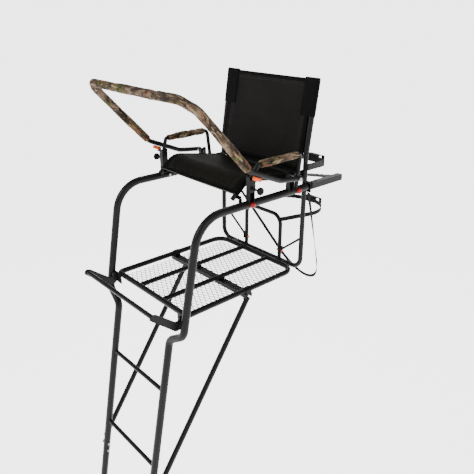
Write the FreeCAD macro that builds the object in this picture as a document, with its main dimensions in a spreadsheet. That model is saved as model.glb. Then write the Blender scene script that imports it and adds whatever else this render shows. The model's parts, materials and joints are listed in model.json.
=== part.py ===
"""Ladder tree stand: a seat, platform and shooting rail on a sectional ladder.

Frame: millimetres, +Z up, +Y towards the back of the tree, +X the sitter's left. The origin is
on the tree trunk's axis, level with the side rails that the seat stands on.
"""
import FreeCAD, Part
import math
import os
from FreeCAD import Placement, Rotation, Vector

doc = FreeCAD.newDocument("LadderTreeStand")
nodes = {}

DIMENSIONS = [
    # tube stock
    ("main_tube", 38.1), ("main_wall", 2.0),
    ("frame_tube", 25.4), ("frame_wall", 1.6),
    ("light_tube", 22.2), ("light_wall", 1.5),
    ("foam_tube", 42.0), ("armrest_foam", 36.0), ("armrest_tube", 20.0),
    # ladder
    ("ladder_span", 460.0), ("lean_angle", 10.6), ("rung_pitch", 435.0),
    ("first_rung", 416.0), ("climb_height", 3400.0), ("stub_length", 60.0),
    # platform and the frames that carry it
    ("platform_width", 600.0), ("platform_depth", 725.0), ("platform_drop", 470.0),
    ("tree_gap", 285.0), ("frame_gap", 248.0), ("frame_span", 630.0),
    ("platform_tube", 28.6), ("strut_tube", 28.6),
    ("rail_span", 656.0), ("rail_lead", 28.0), ("arch_radius", 157.0), ("joint_lead", 671.0),
    ("mesh_thickness", 2.0), ("cross_bar_width", 42.0),
    # seat, back and arms
    ("sling_width", 596.0), ("sling_thickness", 3.0), ("back_width", 600.0),
    ("back_height", 448.0), ("seat_tube_span", 576.0),
    ("armrest_span", 716.0), ("shooting_rail_span", 784.0),
    # tree fittings
    ("trunk_radius", 185.0), ("jaw_width", 45.0), ("jaw_thickness", 5.0), ("arm_section", 32.0),
    ("wide_webbing", 35.0), ("narrow_webbing", 25.0), ("webbing_thickness", 2.4),
    ("bolt_shank", 8.0), ("bolt_clearance", 0.2), ("hinge_clearance", 0.06),
]

sheet = doc.addObject("Spreadsheet::Sheet", "Dimensions")
for row, (alias, value) in enumerate(DIMENSIONS, start=1):
    sheet.set("A%d" % row, alias)
    sheet.set("B%d" % row, str(value))
    sheet.setAlias("B%d" % row, alias)
doc.recompute()


def size(alias):
    """A driving dimension as a number."""
    return float(sheet.get(alias))


# Places worked out from the driving dimensions.
MAIN_R = size("main_tube") / 2
FRAME_R = size("frame_tube") / 2
LIGHT_R = size("light_tube") / 2
PLATFORM_R = size("platform_tube") / 2
ARM_R = size("armrest_tube") / 2
BOLT_R = size("bolt_shank") / 2
HOLE_R = BOLT_R + size("bolt_clearance")
LADDER_X = size("ladder_span") / 2
RAIL_X = size("rail_span") / 2
FRAME_X = size("frame_span") / 2
FRAME_Y = -size("frame_gap")
PLATFORM_X = size("platform_width") / 2
PLATFORM_Z = -size("platform_drop")
PLATFORM_REAR = -size("tree_gap")
PLATFORM_FRONT = PLATFORM_REAR - size("platform_depth")
CROSS_BAR_Y = PLATFORM_REAR - 0.478 * size("platform_depth")
GROUND_Z = PLATFORM_Z - size("climb_height")
LEAN = math.tan(math.radians(size("lean_angle")))
LEAN_COS = math.cos(math.radians(size("lean_angle")))
PIN_RISE = 25.0
JOINT_GAP = 0.2
JOINT_Y = -size("joint_lead")
STUB_R = MAIN_R - size("main_wall") - 0.1
TUBE_JOINTS = [1.5 * size("rung_pitch"), 4.5 * size("rung_pitch")]
RUNG_COUNT = 7
SIDES = [("left", 1), ("right", -1)]


def ladder_y(height):
    """Y of the leaning rails' centre line at a height."""
    return PLATFORM_FRONT - size("rail_lead") + LEAN * (height - PLATFORM_Z)


def rung_z(index):
    """Height of a rung, counted down from the platform."""
    return PLATFORM_Z - size("first_rung") - index * size("rung_pitch")


# ---------------------------------------------------------------- shared builders

def keep(label, obj):
    """Register an object as the sub-part of that name."""
    obj.Label = label
    nodes[label] = obj
    return obj


def feature(label, shape, place=None):
    """A sub-part whose shape is computed, for bends in more than one plane and for groups."""
    obj = doc.addObject("Part::Feature", label)
    obj.Shape = shape
    obj.Placement = place or Placement()
    return keep(label, obj)


def bent_edges(points, radius):
    """Straight runs through the points, joined by tangent arcs of one radius or a list."""
    radii = radius if isinstance(radius, list) else [radius] * (len(points) - 2)
    edges = []
    start = points[0]
    for corner, after, bend in zip(points[1:-1], points[2:], radii):
        back = (start - corner).normalize()
        ahead = (after - corner).normalize()
        turn = math.pi - back.getAngle(ahead)
        reach = bend * math.tan(turn / 2)
        first = corner + back * reach
        last = corner + ahead * reach
        axis = (back + ahead).normalize()
        middle = corner + axis * (bend / math.cos(turn / 2) - bend)
        edges.append(Part.LineSegment(start, first))
        edges.append(Part.Arc(first, middle, last))
        start = last
    edges.append(Part.LineSegment(start, points[-1]))
    return edges


def bent_wire(points, radius):
    return Part.Wire([edge.toShape() for edge in bent_edges(points, radius)])


def ring_face(centre, normal, outer, inner):
    """A flat ring, the section of a tube."""
    rim = Part.Wire([Part.Circle(centre, normal, outer).toShape()])
    face = Part.Face(rim)
    if inner > 0:
        face = face.cut(Part.Face(Part.Wire([Part.Circle(centre, normal, inner).toShape()])))
    return face.Faces[0]


def swept_tube(points, radius, outer, inner):
    """A bent tube with its true wall."""
    path = bent_wire(points, radius)
    section = ring_face(points[0], points[1] - points[0], outer, inner)
    return path.makePipe(section)


def rod(start, end, radius):
    """A solid round bar between two points."""
    return Part.makeCylinder(radius, (end - start).Length, start, end - start)


def hex_prism(centre, axis, across, height):
    """A hexagonal nut or bolt head that starts at a point."""
    turn = Rotation(Vector(0, 0, 1), axis)
    corner_r = across / math.sqrt(3)
    ring = []
    for step in range(7):
        angle = math.radians(60 * step)
        local = Vector(corner_r * math.cos(angle), corner_r * math.sin(angle), 0)
        ring.append(centre + turn.multVec(local))
    return Part.Face(Part.makePolygon(ring)).extrude(turn.multVec(Vector(0, 0, height)))


def bolt(start, end, shank=BOLT_R):
    """A hexagon bolt: the head is outside `start`, the nut outside `end`."""
    axis = (end - start).normalize()
    head = hex_prism(start, axis * -1, 3.2 * shank, 1.3 * shank)
    nut = hex_prism(end, axis, 3.2 * shank, 1.6 * shank)
    return rod(start, end, shank).fuse([head, nut])


def x_line(y, z, low, high, side=1):
    """Two points on a line along X, on one side of the stand."""
    return Vector(side * low, y, z), Vector(side * high, y, z)


def new_body(label, member=False):
    """A body. One that is a member of a group is not a sub-part by itself."""
    body = doc.addObject("PartDesign::Body", label)
    body.Label = label
    return body if member else keep(label, body)


def flat_sketch(body, name, role, offset=Vector(0, 0, 0)):
    """A sketch on one of the body's own origin planes."""
    plane = next(item for item in body.Origin.OriginFeatures if item.Role == role)
    sketch = body.newObject("Sketcher::SketchObject", name)
    sketch.AttachmentSupport = (plane, [""])
    sketch.MapMode = "FlatFace"
    sketch.AttachmentOffset = Placement(offset, Rotation())
    return sketch


def draw_loop(sketch, corners):
    """A closed outline of straight lines."""
    for start, end in zip(corners, corners[1:] + corners[:1]):
        sketch.addGeometry(Part.LineSegment(Vector(*start, 0), Vector(*end, 0)), False)


def draw_circle(sketch, x, y, radius):
    sketch.addGeometry(Part.Circle(Vector(x, y, 0), Vector(0, 0, 1), radius), False)


def pad(body, sketch, length, name="Pad"):
    """Raise a sketch along its normal. The length is a number or an expression."""
    raised = body.newObject("PartDesign::Pad", name)
    raised.Profile = sketch
    if isinstance(length, str):
        raised.setExpression("Length", length)
    else:
        raised.Length = length
    body.Tip = raised
    doc.recompute()
    return raised


def cut_through(body, sketch, name="Pocket"):
    """Cut a sketch right through the body, both ways, and make sure that it removed metal."""
    before = body.Shape.Volume
    pocket = body.newObject("PartDesign::Pocket", name)
    pocket.Profile = sketch
    pocket.Type = 1
    body.Tip = pocket
    doc.recompute()
    if body.Shape.Volume > before - 1:
        pocket.Reversed = True
        doc.recompute()
    assert body.Shape.Volume < before - 1, body.Label
    return pocket


def revolve(body, sketch, axis):
    """Turn a half section a full turn about a sketch axis."""
    turned = body.newObject("PartDesign::Revolution", "Revolution")
    turned.Profile = sketch
    turned.ReferenceAxis = (sketch, [axis])
    turned.Angle = 360
    body.Tip = turned
    doc.recompute()
    return turned


def straight_tube(label, start, end, outer, wall):
    """A straight tube of two cylinders whose radii follow the sheet."""
    skin = doc.addObject("Part::Cylinder", label + "_skin")
    bore = doc.addObject("Part::Cylinder", label + "_bore")
    skin.setExpression("Radius", "Dimensions.%s / 2" % outer)
    bore.setExpression("Radius", "Dimensions.%s / 2 - Dimensions.%s" % (outer, wall))
    skin.Height = bore.Height = (end - start).Length
    tube = doc.addObject("Part::Cut", label)
    tube.Base = skin
    tube.Tool = bore
    tube.Placement = Placement(start, Rotation(Vector(0, 0, 1), end - start))
    return tube


def group(label, shapes):
    """Identical pieces that share one node, each a solid of its own."""
    return feature(label, Part.makeCompound(shapes))


def gather(label, members):
    """Identical modelled pieces, gathered into the one sub-part that they share."""
    compound = doc.addObject("Part::Compound", label)
    compound.Links = members
    return keep(label, compound)


# ---------------------------------------------------------------- ladder

def arch_rail(name, side):
    """One bent rail: ladder, outward step, leaning upright and the arch up to the seat's rail."""
    bottom = PLATFORM_Z - size("first_rung") - 1.5 * size("rung_pitch")
    step_low = PLATFORM_Z - 140
    step_high = PLATFORM_Z - 80
    points = [
        Vector(side * LADDER_X, ladder_y(bottom), bottom),
        Vector(side * LADDER_X, ladder_y(step_low), step_low),
        Vector(side * RAIL_X, ladder_y(step_high), step_high),
        Vector(side * RAIL_X, ladder_y(0), 0),
        Vector(side * RAIL_X, JOINT_Y, 0),
    ]
    wall = size("main_wall")
    rail = swept_tube(points, [48.0, 48.0, size("arch_radius")], MAIN_R, MAIN_R - wall)
    along = Vector(0, 1, 0)
    stub_start = Vector(side * RAIL_X, JOINT_Y - 12, 0)
    stub = Part.makeCylinder(STUB_R, 12 + size("stub_length"), stub_start, along)
    shoulder = Part.makeCylinder(MAIN_R - wall / 2, 10, stub_start, along)
    stub = stub.fuse(shoulder)
    hollow = Part.makeCylinder(STUB_R - wall, 14 + size("stub_length"), stub_start, along)
    rail = rail.fuse(stub).cut(hollow)
    holes = [cross_hole(side * RAIL_X, JOINT_Y + 25, 0)]
    holes.append(cross_hole(side * LADDER_X, ladder_y(STRUT_FOOT_Z), STRUT_FOOT_Z))
    pin_z = bottom + PIN_RISE * LEAN_COS
    holes.append(cross_hole(side * LADDER_X, ladder_y(pin_z), pin_z))
    feature("arch_rail_" + name, rail.cut(holes))


def cross_hole(x, y, z, radius=HOLE_R, reach=30.0):
    """A cutter along X through a tube whose centre is at a point."""
    return Part.makeCylinder(radius, 2 * reach, Vector(x - reach, y, z), Vector(1, 0, 0))


def ladder_section_rail(label, side, top, bottom, sole=False):
    """A straight rail with a reduced stub on top that slides up into the rail above."""
    length = (top - bottom) / LEAN_COS
    inner = MAIN_R - size("main_wall")
    body = new_body(label)
    profile = flat_sketch(body, "HalfSection", "XZ_Plane")
    stub_top = length + size("stub_length")
    stub_inner = STUB_R - size("main_wall")
    start = -4.0 if sole else 0.0
    draw_loop(profile, [
        (inner, start), (MAIN_R, start), (MAIN_R, length), (STUB_R, length), (STUB_R, stub_top),
        (stub_inner, stub_top), (stub_inner, length - 12), (inner, length - 12),
    ])
    revolve(body, profile, "V_Axis")
    holes = flat_sketch(body, "PinHoles", "YZ_Plane", Vector(0, 0, -30))
    draw_circle(holes, 0, length + JOINT_GAP + PIN_RISE, HOLE_R)
    if not sole:
        draw_circle(holes, 0, PIN_RISE, HOLE_R)
    cut_through(body, holes)
    if sole:
        level = flat_sketch(body, "LevelSole", "YZ_Plane", Vector(0, 0, -30))
        draw_loop(level, [(-30, -8), (30, -8), (30, 30 * LEAN), (-30, -30 * LEAN)])
        cut_through(body, level, "SoleCut")
    turn = Rotation(Vector(1, 0, 0), -size("lean_angle"))
    body.Placement = Placement(Vector(side * LADDER_X, ladder_y(bottom), bottom), turn)


def rungs():
    """Level rungs, coped to the rails that they are welded between."""
    bars = []
    for index in range(RUNG_COUNT):
        height = rung_z(index)
        start, end = x_line(ladder_y(height), height, -LADDER_X, LADDER_X)
        rung = rod(start, end, LIGHT_R).cut(rod(start, end, LIGHT_R - size("light_wall")))
        for side in (1, -1):
            low = Vector(side * LADDER_X, ladder_y(height - 60), height - 60)
            high = Vector(side * LADDER_X, ladder_y(height + 60), height + 60)
            rung = rung.cut(rod(low, high, MAIN_R))
        bars.append(rung)
    group("rungs", bars)


def foot_plates():
    """Flat soles under the bottom rails, each with a bolt hole."""
    plates = []
    for name, side in SIDES:
        body = new_body("sole_" + name, member=True)
        outline = flat_sketch(body, "Sole", "XY_Plane")
        draw_loop(outline, [(-35, -62), (35, -62), (35, 48), (-35, 48)])
        draw_circle(outline, 0, -46, 5.5)
        pad(body, outline, 5.0)
        body.Placement = Placement(Vector(side * LADDER_X, ladder_y(GROUND_Z), GROUND_Z), Rotation())
        plates.append(body)
    gather("foot_plates", plates)


def ladder_pins():
    """Bolts that lock each ladder section to the one above."""
    pins = []
    for joint in TUBE_JOINTS:
        height = PLATFORM_Z - size("first_rung") - joint + PIN_RISE * LEAN_COS
        for side in (1, -1):
            start, end = x_line(ladder_y(height), height, LADDER_X + MAIN_R, LADDER_X - MAIN_R, side)
            pins.append(bolt(start, end))
    group("ladder_pins", pins)


# ---------------------------------------------------------------- struts and footrest

STRUT_X = LADDER_X + 34.0
STRUT_TAB_IN = LADDER_X + MAIN_R + 0.4
STRUT_TAB = 5.0
STRUT_FOOT_Z = PLATFORM_Z - 1000.0
STRUT_HEAD = Vector(STRUT_X, PLATFORM_REAR - 290.0, PLATFORM_Z - 52.0)


def strut(name, side):
    """A brace from the platform's cross bar down to the ladder, with flattened ends."""
    foot = Vector(STRUT_X, ladder_y(STRUT_FOOT_Z), STRUT_FOOT_Z)
    length = (foot - STRUT_HEAD).Length
    angle = math.degrees(math.atan2(-(foot.y - STRUT_HEAD.y), foot.z - STRUT_HEAD.z))
    label = "strut_" + name
    inset = 24.0
    skin = doc.addObject("Part::Cylinder", label + "_skin")
    skin.setExpression("Radius", "Dimensions.strut_tube / 2")
    skin.Height = length - 2 * inset
    skin.Placement.Base = Vector(0, 0, inset)
    bore = doc.addObject("Part::Cylinder", label + "_bore")
    bore.setExpression("Radius", "Dimensions.strut_tube / 2 - Dimensions.frame_wall")
    bore.Height = length
    tube = doc.addObject("Part::Cut", label + "_tube")
    tube.Base = skin
    tube.Tool = bore
    parts = [tube]
    tab_x = (STRUT_TAB_IN - STRUT_X) if side > 0 else (STRUT_X - STRUT_TAB_IN - STRUT_TAB)
    for end, low in (("head", -14.0), ("foot", length - 46.0)):
        tab = doc.addObject("Part::Box", label + "_" + end)
        tab.Length = STRUT_TAB
        tab.Width = 24.0
        tab.Height = 60.0
        tab.Placement.Base = Vector(tab_x, -12.0, low)
        parts.append(tab)
    joined = doc.addObject("Part::MultiFuse", label + "_joined")
    joined.Shapes = parts
    holes = []
    for end, height in (("top", 0.0), ("bottom", length)):
        hole = doc.addObject("Part::Cylinder", label + "_hole_" + end)
        hole.Radius = HOLE_R
        hole.Height = 60.0
        hole.Placement = Placement(Vector(-30, 0, height), Rotation(Vector(0, 1, 0), 90))
        holes.append(hole)
    drill = doc.addObject("Part::MultiFuse", label + "_holes")
    drill.Shapes = holes
    result = doc.addObject("Part::Cut", label)
    result.Base = joined
    result.Tool = drill
    head = Vector(side * STRUT_HEAD.x, STRUT_HEAD.y, STRUT_HEAD.z)
    result.Placement = Placement(head, Rotation(Vector(1, 0, 0), angle))
    return result


def strut_bolts():
    bolts = []
    outer = STRUT_TAB_IN + STRUT_TAB + 0.3
    for side in (1, -1):
        head = x_line(STRUT_HEAD.y, STRUT_HEAD.z, outer, STRUT_TAB_IN - 5.2, side)
        bolts.append(bolt(*head))
        foot_y = ladder_y(STRUT_FOOT_Z)
        foot = x_line(foot_y, STRUT_FOOT_Z, outer, LADDER_X - MAIN_R, side)
        bolts.append(bolt(*foot))
    group("strut_bolts", bolts)


FOOTREST_Y = PLATFORM_FRONT - 180.0
FOOTREST_Z = PLATFORM_Z + 62.0
FOOTREST_ARM_X = PLATFORM_X - 8.0


def footrest_bar():
    """The tube that the feet rest on, in front of and above the platform's edge."""
    start, end = x_line(FOOTREST_Y, FOOTREST_Z, -FOOTREST_ARM_X, FOOTREST_ARM_X)
    keep("footrest_bar", straight_tube("footrest_bar", start, end, "light_tube", "light_wall"))


def footrest_arms():
    """Plate arms that hook up under the platform's front tube."""
    arms = []
    for name, side in SIDES:
        body = new_body("footrest_arm_" + name, member=True)
        outline = flat_sketch(body, "Outline", "YZ_Plane")
        reach = FOOTREST_Y - PLATFORM_FRONT
        rise = FOOTREST_Z - PLATFORM_Z
        near = -PLATFORM_R - 0.9
        draw_loop(outline, [
            (reach - 15, rise + 6), (reach - 4, rise + 15), (reach + 18, rise + 9),
            (reach + 118, -8), (reach + 138, -8), (-40, 6), (-34, 13), (near, 13), (near, -12),
            (-20, -42), (-40, -56), (-66, -56), (reach - 6, rise - 17), (reach - 16, rise - 8),
        ])
        pad(body, outline, 8.0)
        low = FOOTREST_ARM_X + 0.05 if side > 0 else -FOOTREST_ARM_X - 8.05
        body.Placement = Placement(Vector(low, PLATFORM_FRONT, PLATFORM_Z), Rotation())
        arms.append(body)
    gather("footrest_arms", arms)


# ---------------------------------------------------------------- platform

def platform_frame():
    """The welded outer ring, with large bends at the rear corners."""
    depth = size("platform_depth")
    points = [Vector(0, -depth, 0), Vector(PLATFORM_X, -depth, 0), Vector(PLATFORM_X, 0, 0), Vector()]
    half = swept_tube(points, [26.0, 70.0], PLATFORM_R, PLATFORM_R - size("frame_wall"))
    ring = half.fuse(half.mirror(Vector(), Vector(1, 0, 0)))
    feature("platform_frame", ring, Placement(Vector(0, PLATFORM_REAR, PLATFORM_Z), Rotation()))


def platform_bars():
    """Two inner tubes from the ring's front to its rear."""
    bars = []
    for x in (-100.0, 100.0):
        front = Vector(x, PLATFORM_FRONT + PLATFORM_R + 0.1, PLATFORM_Z)
        rear = Vector(x, PLATFORM_REAR - PLATFORM_R - 0.1, PLATFORM_Z)
        bars.append(rod(front, rear, FRAME_R).cut(rod(front, rear, FRAME_R - size("frame_wall"))))
    group("platform_bars", bars)


MESH_DROP = PLATFORM_R + size("mesh_thickness") + 0.1
CROSS_BAR_RISE = 11.0
CROSS_BAR_Z = PLATFORM_Z - MESH_DROP - 0.1 - CROSS_BAR_RISE
CLAMP_WALL = 3.0


def platform_cross_bar():
    """A channel under the deck, with an ear near each end for the strut."""
    body = new_body("platform_cross_bar")
    length = 2 * (PLATFORM_X + PLATFORM_R + CLAMP_WALL + 1)
    half = size("cross_bar_width") / 2
    rise = CROSS_BAR_RISE
    section = flat_sketch(body, "ChannelSection", "YZ_Plane", Vector(0, 0, -length / 2))
    draw_loop(section, [
        (-half, -rise), (-half, rise), (half, rise), (half, -rise),
        (half - 3, -rise), (half - 3, rise - 3), (-half + 3, rise - 3), (-half + 3, -rise),
    ])
    pad(body, section, length, "Channel")
    for side in (1, -1):
        low = STRUT_TAB_IN - 5.0 if side > 0 else -STRUT_TAB_IN + 0.2
        ear = flat_sketch(body, "Ear", "YZ_Plane", Vector(0, 0, low))
        head_y = STRUT_HEAD.y - CROSS_BAR_Y
        head_z = STRUT_HEAD.z - CROSS_BAR_Z
        draw_loop(ear, [
            (-half, rise - 2), (half, rise - 2), (half + 2, -rise - 1), (head_y + 14, head_z + 14),
            (head_y + 14, head_z - 8), (head_y + 4, head_z - 16), (head_y - 12, head_z - 12),
            (-half, -rise - 1),
        ])
        draw_circle(ear, head_y, head_z, HOLE_R)
        pad(body, ear, 4.8, "EarPad")
    body.Placement = Placement(Vector(0, CROSS_BAR_Y, CROSS_BAR_Z), Rotation())


def platform_clamps():
    """Saddles over the side tubes, with the outer leg down to the cross bar's end."""
    clamps = []
    bore = PLATFORM_R + 0.1
    outer = bore + CLAMP_WALL
    leg = MESH_DROP + 0.1
    for side in (1, -1):
        shape = rod(Vector(0, -17, 0), Vector(0, 17, 0), outer)
        shape = shape.fuse(Part.makeBox(2 * outer, 34, leg, Vector(-outer, -17, -leg)))
        shape = shape.cut(rod(Vector(0, -30, 0), Vector(0, 30, 0), bore))
        shape = shape.cut(Part.makeBox(2 * bore, 60, leg + 10, Vector(-bore, -30, -leg - 10)))
        shape = shape.cut(Part.makeBox(outer, 60, 20, Vector(-outer, -30, -PLATFORM_R - 20)))
        shape = shape.cut(Part.makeBox(2 * outer, 60, 20, Vector(-outer, -30, -leg - 20)))
        if side < 0:
            shape = shape.mirror(Vector(), Vector(1, 0, 0))
        shape.translate(Vector(side * PLATFORM_X, CROSS_BAR_Y, PLATFORM_Z))
        clamps.extend(shape.Solids)
    group("platform_clamps", clamps)


def platform_mesh():
    """The walking surface: a sheet of expanded metal under the bars."""
    body = new_body("platform_mesh")
    outline = flat_sketch(body, "Outline", "XY_Plane")
    inset = 6.0
    wide = PLATFORM_X - inset
    deep = size("platform_depth") - inset
    points = [
        Vector(0, -deep, 0), Vector(wide, -deep, 0), Vector(wide, -inset, 0),
        Vector(-wide, -inset, 0), Vector(-wide, -deep, 0), Vector(0, -deep, 0),
    ]
    for edge in bent_edges(points, [20.0, 64.0, 64.0, 20.0]):
        outline.addGeometry(edge, False)
    pad(body, outline, "Dimensions.mesh_thickness")
    body.Placement = Placement(Vector(0, PLATFORM_REAR, PLATFORM_Z - MESH_DROP), Rotation())


def platform_gussets():
    """Plates that tie the platform's front corners to the leaning rails."""
    plates = []
    for side in (1, -1):
        low_x = PLATFORM_X - 48
        plate = Part.makeBox(60.0, 5.0, 58.0, Vector(low_x, PLATFORM_FRONT - PLATFORM_R - 5.1, 0))
        plate.translate(Vector(0, 0, PLATFORM_Z - 46))
        low = Vector(RAIL_X, ladder_y(PLATFORM_Z - 60), PLATFORM_Z - 60)
        high = Vector(RAIL_X, ladder_y(PLATFORM_Z + 60), PLATFORM_Z + 60)
        plate = plate.cut(rod(low, high, MAIN_R))
        arm = Part.makeBox(9.0, 60.0, 90.0)
        arm.translate(Vector(FOOTREST_ARM_X - 0.4, PLATFORM_FRONT - 60, PLATFORM_Z - 70))
        plate = plate.cut(arm)
        pieces = sorted(plate.Solids, key=lambda solid: solid.CenterOfMass.x)
        for piece in pieces:
            plates.append(piece if side > 0 else piece.mirror(Vector(), Vector(1, 0, 0)))
    group("platform_gussets", plates)


def rear_clips():
    """Saddle plates between the platform's rear tube and the rear frame."""
    clips = []
    for x in (-190.0, 190.0):
        clip = Part.makeBox(40, FRAME_Y - PLATFORM_REAR, 22, Vector(x - 20, PLATFORM_REAR, 0))
        clip.translate(Vector(0, 0, PLATFORM_Z - 11))
        for y, radius in ((PLATFORM_REAR, PLATFORM_R), (FRAME_Y, FRAME_R)):
            clip = clip.cut(rod(Vector(x - 30, y, PLATFORM_Z), Vector(x + 30, y, PLATFORM_Z), radius))
        clips.extend(clip.Solids)
    group("rear_clips", clips)


# ---------------------------------------------------------------- rear frame and seat rails

UPRIGHT_FOOT = 130.0
BACK_LEAN = 0.15
BACK_TOP = 505.0


def rear_frame():
    """One tube bent into a U: two verticals and the bar behind the platform."""
    body = new_body("rear_frame")
    top = UPRIGHT_FOOT - PLATFORM_Z
    path = flat_sketch(body, "Path", "XZ_Plane")
    points = [Vector(FRAME_X, top, 0), Vector(FRAME_X, 0, 0),
              Vector(-FRAME_X, 0, 0), Vector(-FRAME_X, top, 0)]
    for edge in bent_edges(points, 60.0):
        path.addGeometry(edge, False)
    section = flat_sketch(body, "Section", "XY_Plane", Vector(FRAME_X, 0, top))
    draw_circle(section, 0, 0, FRAME_R)
    draw_circle(section, 0, 0, FRAME_R - size("frame_wall"))
    doc.recompute()
    pipe = body.newObject("PartDesign::AdditivePipe", "Pipe")
    pipe.Profile = section
    pipe.Spine = (path, ["Edge%d" % number for number in range(1, 6)])
    body.Tip = pipe
    body.Placement = Placement(Vector(0, FRAME_Y, PLATFORM_Z), Rotation())


def tree_hoop():
    """An inverted U that stands on the rear frame's bar and rests against the tree."""
    body = new_body("tree_hoop")
    half = 137.0
    height = 265.0
    path = flat_sketch(body, "Path", "XZ_Plane")
    points = [Vector(half, 0, 0), Vector(half, height, 0),
              Vector(-half, height, 0), Vector(-half, 0, 0)]
    for edge in bent_edges(points, 58.0):
        path.addGeometry(edge, False)
    section = flat_sketch(body, "Section", "XY_Plane", Vector(half, 0, 0))
    draw_circle(section, 0, 0, LIGHT_R)
    draw_circle(section, 0, 0, LIGHT_R - size("light_wall"))
    doc.recompute()
    pipe = body.newObject("PartDesign::AdditivePipe", "Pipe")
    pipe.Profile = section
    pipe.Spine = (path, ["Edge%d" % number for number in range(1, 6)])
    body.Tip = pipe
    doc.recompute()
    holes = flat_sketch(body, "BoltHoles", "YZ_Plane", Vector(0, 0, -200))
    draw_circle(holes, 0, HOOP_BOLT_Z - HOOP_FOOT_Z, HOLE_R)
    cut_through(body, holes)
    body.Placement = Placement(Vector(0, HOOP_Y, HOOP_FOOT_Z), Rotation())


HOOP_Y = FRAME_Y + FRAME_R + LIGHT_R + 0.1
HOOP_FOOT_Z = PLATFORM_Z - 14.0
HOOP_BOLT_Z = PLATFORM_Z + 42.0
HOOP_X = 137.0


def hoop_braces():
    """Thin bars from the rear frame's verticals to the hoop's feet, flattened at the foot."""
    braces = []
    for side in (1, -1):
        start = Vector(side * (FRAME_X - 16), HOOP_Y - 4, PLATFORM_Z + 170)
        end = Vector(side * (HOOP_X + LIGHT_R + 14), HOOP_Y, HOOP_BOLT_Z + 18)
        bar = rod(start, end, 6.5)
        tab = Part.makeBox(3.6, 22, 42, Vector(HOOP_X + LIGHT_R + 1.0, HOOP_Y - 11, HOOP_BOLT_Z - 14))
        bridge = Part.makeBox(12, 12, 13, Vector(HOOP_X + LIGHT_R + 4.0, HOOP_Y - 6, HOOP_BOLT_Z + 12))
        tab = tab.fuse(bridge)
        upright = Vector(side * FRAME_X, FRAME_Y, PLATFORM_Z + 100)
        if side < 0:
            tab = tab.mirror(Vector(), Vector(1, 0, 0))
        bar = bar.fuse(tab).cut(cross_hole(side * HOOP_X, HOOP_Y, HOOP_BOLT_Z))
        braces.append(bar.cut(rod(upright, upright + Vector(0, 0, 140), FRAME_R)))
    group("hoop_braces", braces)


def hoop_bolts():
    bolts = []
    for side in (1, -1):
        outer = HOOP_X + LIGHT_R + 5.0
        bolts.append(bolt(*x_line(HOOP_Y, HOOP_BOLT_Z, outer, HOOP_X - LIGHT_R - 0.2, side)))
    group("hoop_bolts", bolts)


def side_rail(name, side):
    """The straight rail beside the seat, coped to the rear frame's vertical."""
    start = Vector(side * RAIL_X, JOINT_Y + 0.2, 0)
    end = Vector(side * RAIL_X, FRAME_Y, 0)
    tube = straight_tube("side_rail_tube_" + name, start, end, "main_tube", "main_wall")
    cutters = []
    cope = doc.addObject("Part::Cylinder", "cope_" + name)
    cope.Radius = FRAME_R
    cope.Height = 80
    cope.Placement.Base = Vector(side * FRAME_X, FRAME_Y, -40)
    cutters.append(cope)
    spare = doc.addObject("Part::Box", "cope_spare_" + name)
    spare.Length = 60
    spare.Width = 40
    spare.Height = 80
    spare.Placement.Base = Vector(side * RAIL_X - 30, FRAME_Y - 4, -40)
    cutters.append(spare)
    for tag, hole_y in (("front", JOINT_Y + 25), ("rear", REAR_BOLT_Y)):
        hole = doc.addObject("Part::Cylinder", "rail_hole_%s_%s" % (tag, name))
        hole.Radius = HOLE_R
        hole.Height = 80
        hole.Placement = Placement(Vector(side * RAIL_X - 40, hole_y, 0), Rotation(Vector(0, 1, 0), 90))
        cutters.append(hole)
    tools = doc.addObject("Part::MultiFuse", "side_rail_tools_" + name)
    tools.Shapes = cutters
    rail = doc.addObject("Part::Cut", "side_rail_" + name)
    rail.Base = tube
    rail.Tool = tools
    keep("side_rail_" + name, rail)


REAR_BOLT_Y = PLATFORM_REAR - 41.5


def rail_bolts():
    """Bolts through the side rails, front and rear, and their round plastic caps."""
    bolts = []
    for side in (1, -1):
        for y in (JOINT_Y + 25, REAR_BOLT_Y):
            bolts.append(bolt(*x_line(y, 0, RAIL_X + MAIN_R, RAIL_X - MAIN_R, side)))
    group("rail_bolts", bolts)
    caps = []
    for name, side in SIDES:
        for tag, y in (("front", JOINT_Y + 25), ("rear", REAR_BOLT_Y)):
            body = new_body("cap_%s_%s" % (tag, name), member=True)
            dome = flat_sketch(body, "HalfSection", "XZ_Plane")
            draw_loop(dome, [(8.5, 0), (14.5, 0), (14.5, 4), (12.5, 9.5), (8, 13.5), (0, 15),
                             (0, 6.2), (8.5, 6.2)])
            revolve(body, dome, "V_Axis")
            turn = Rotation(Vector(0, 1, 0), 90 * side)
            body.Placement = Placement(Vector(side * (RAIL_X + MAIN_R), y, 0), turn)
            caps.append(body)
    gather("bolt_caps", caps)


def back_upright(side):
    """The tube that carries the backrest, leaning back from the rear frame's top."""
    points = [
        Vector(side * FRAME_X, FRAME_Y, UPRIGHT_FOOT + 0.2),
        Vector(side * FRAME_X, FRAME_Y, UPRIGHT_FOOT + 28),
        Vector(side * FRAME_X, FRAME_Y + BACK_LEAN * (BACK_TOP - UPRIGHT_FOOT - 28), BACK_TOP),
    ]
    tube = swept_tube(points, 120.0, FRAME_R, FRAME_R - size("frame_wall"))
    stub_r = FRAME_R - size("frame_wall") - 0.1
    foot = points[0]
    stub = rod(foot - Vector(0, 0, 40), foot + Vector(0, 0, 8), stub_r)
    collar = rod(foot, foot + Vector(0, 0, 8), FRAME_R - size("frame_wall") / 2)
    hollow = rod(foot - Vector(0, 0, 41), foot + Vector(0, 0, 9), stub_r - 1.6)
    return tube.fuse([stub, collar]).cut(hollow)


BACK_BAR_Y = FRAME_Y - 22.0
BACK_BAR_Z = 76.0


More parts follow.
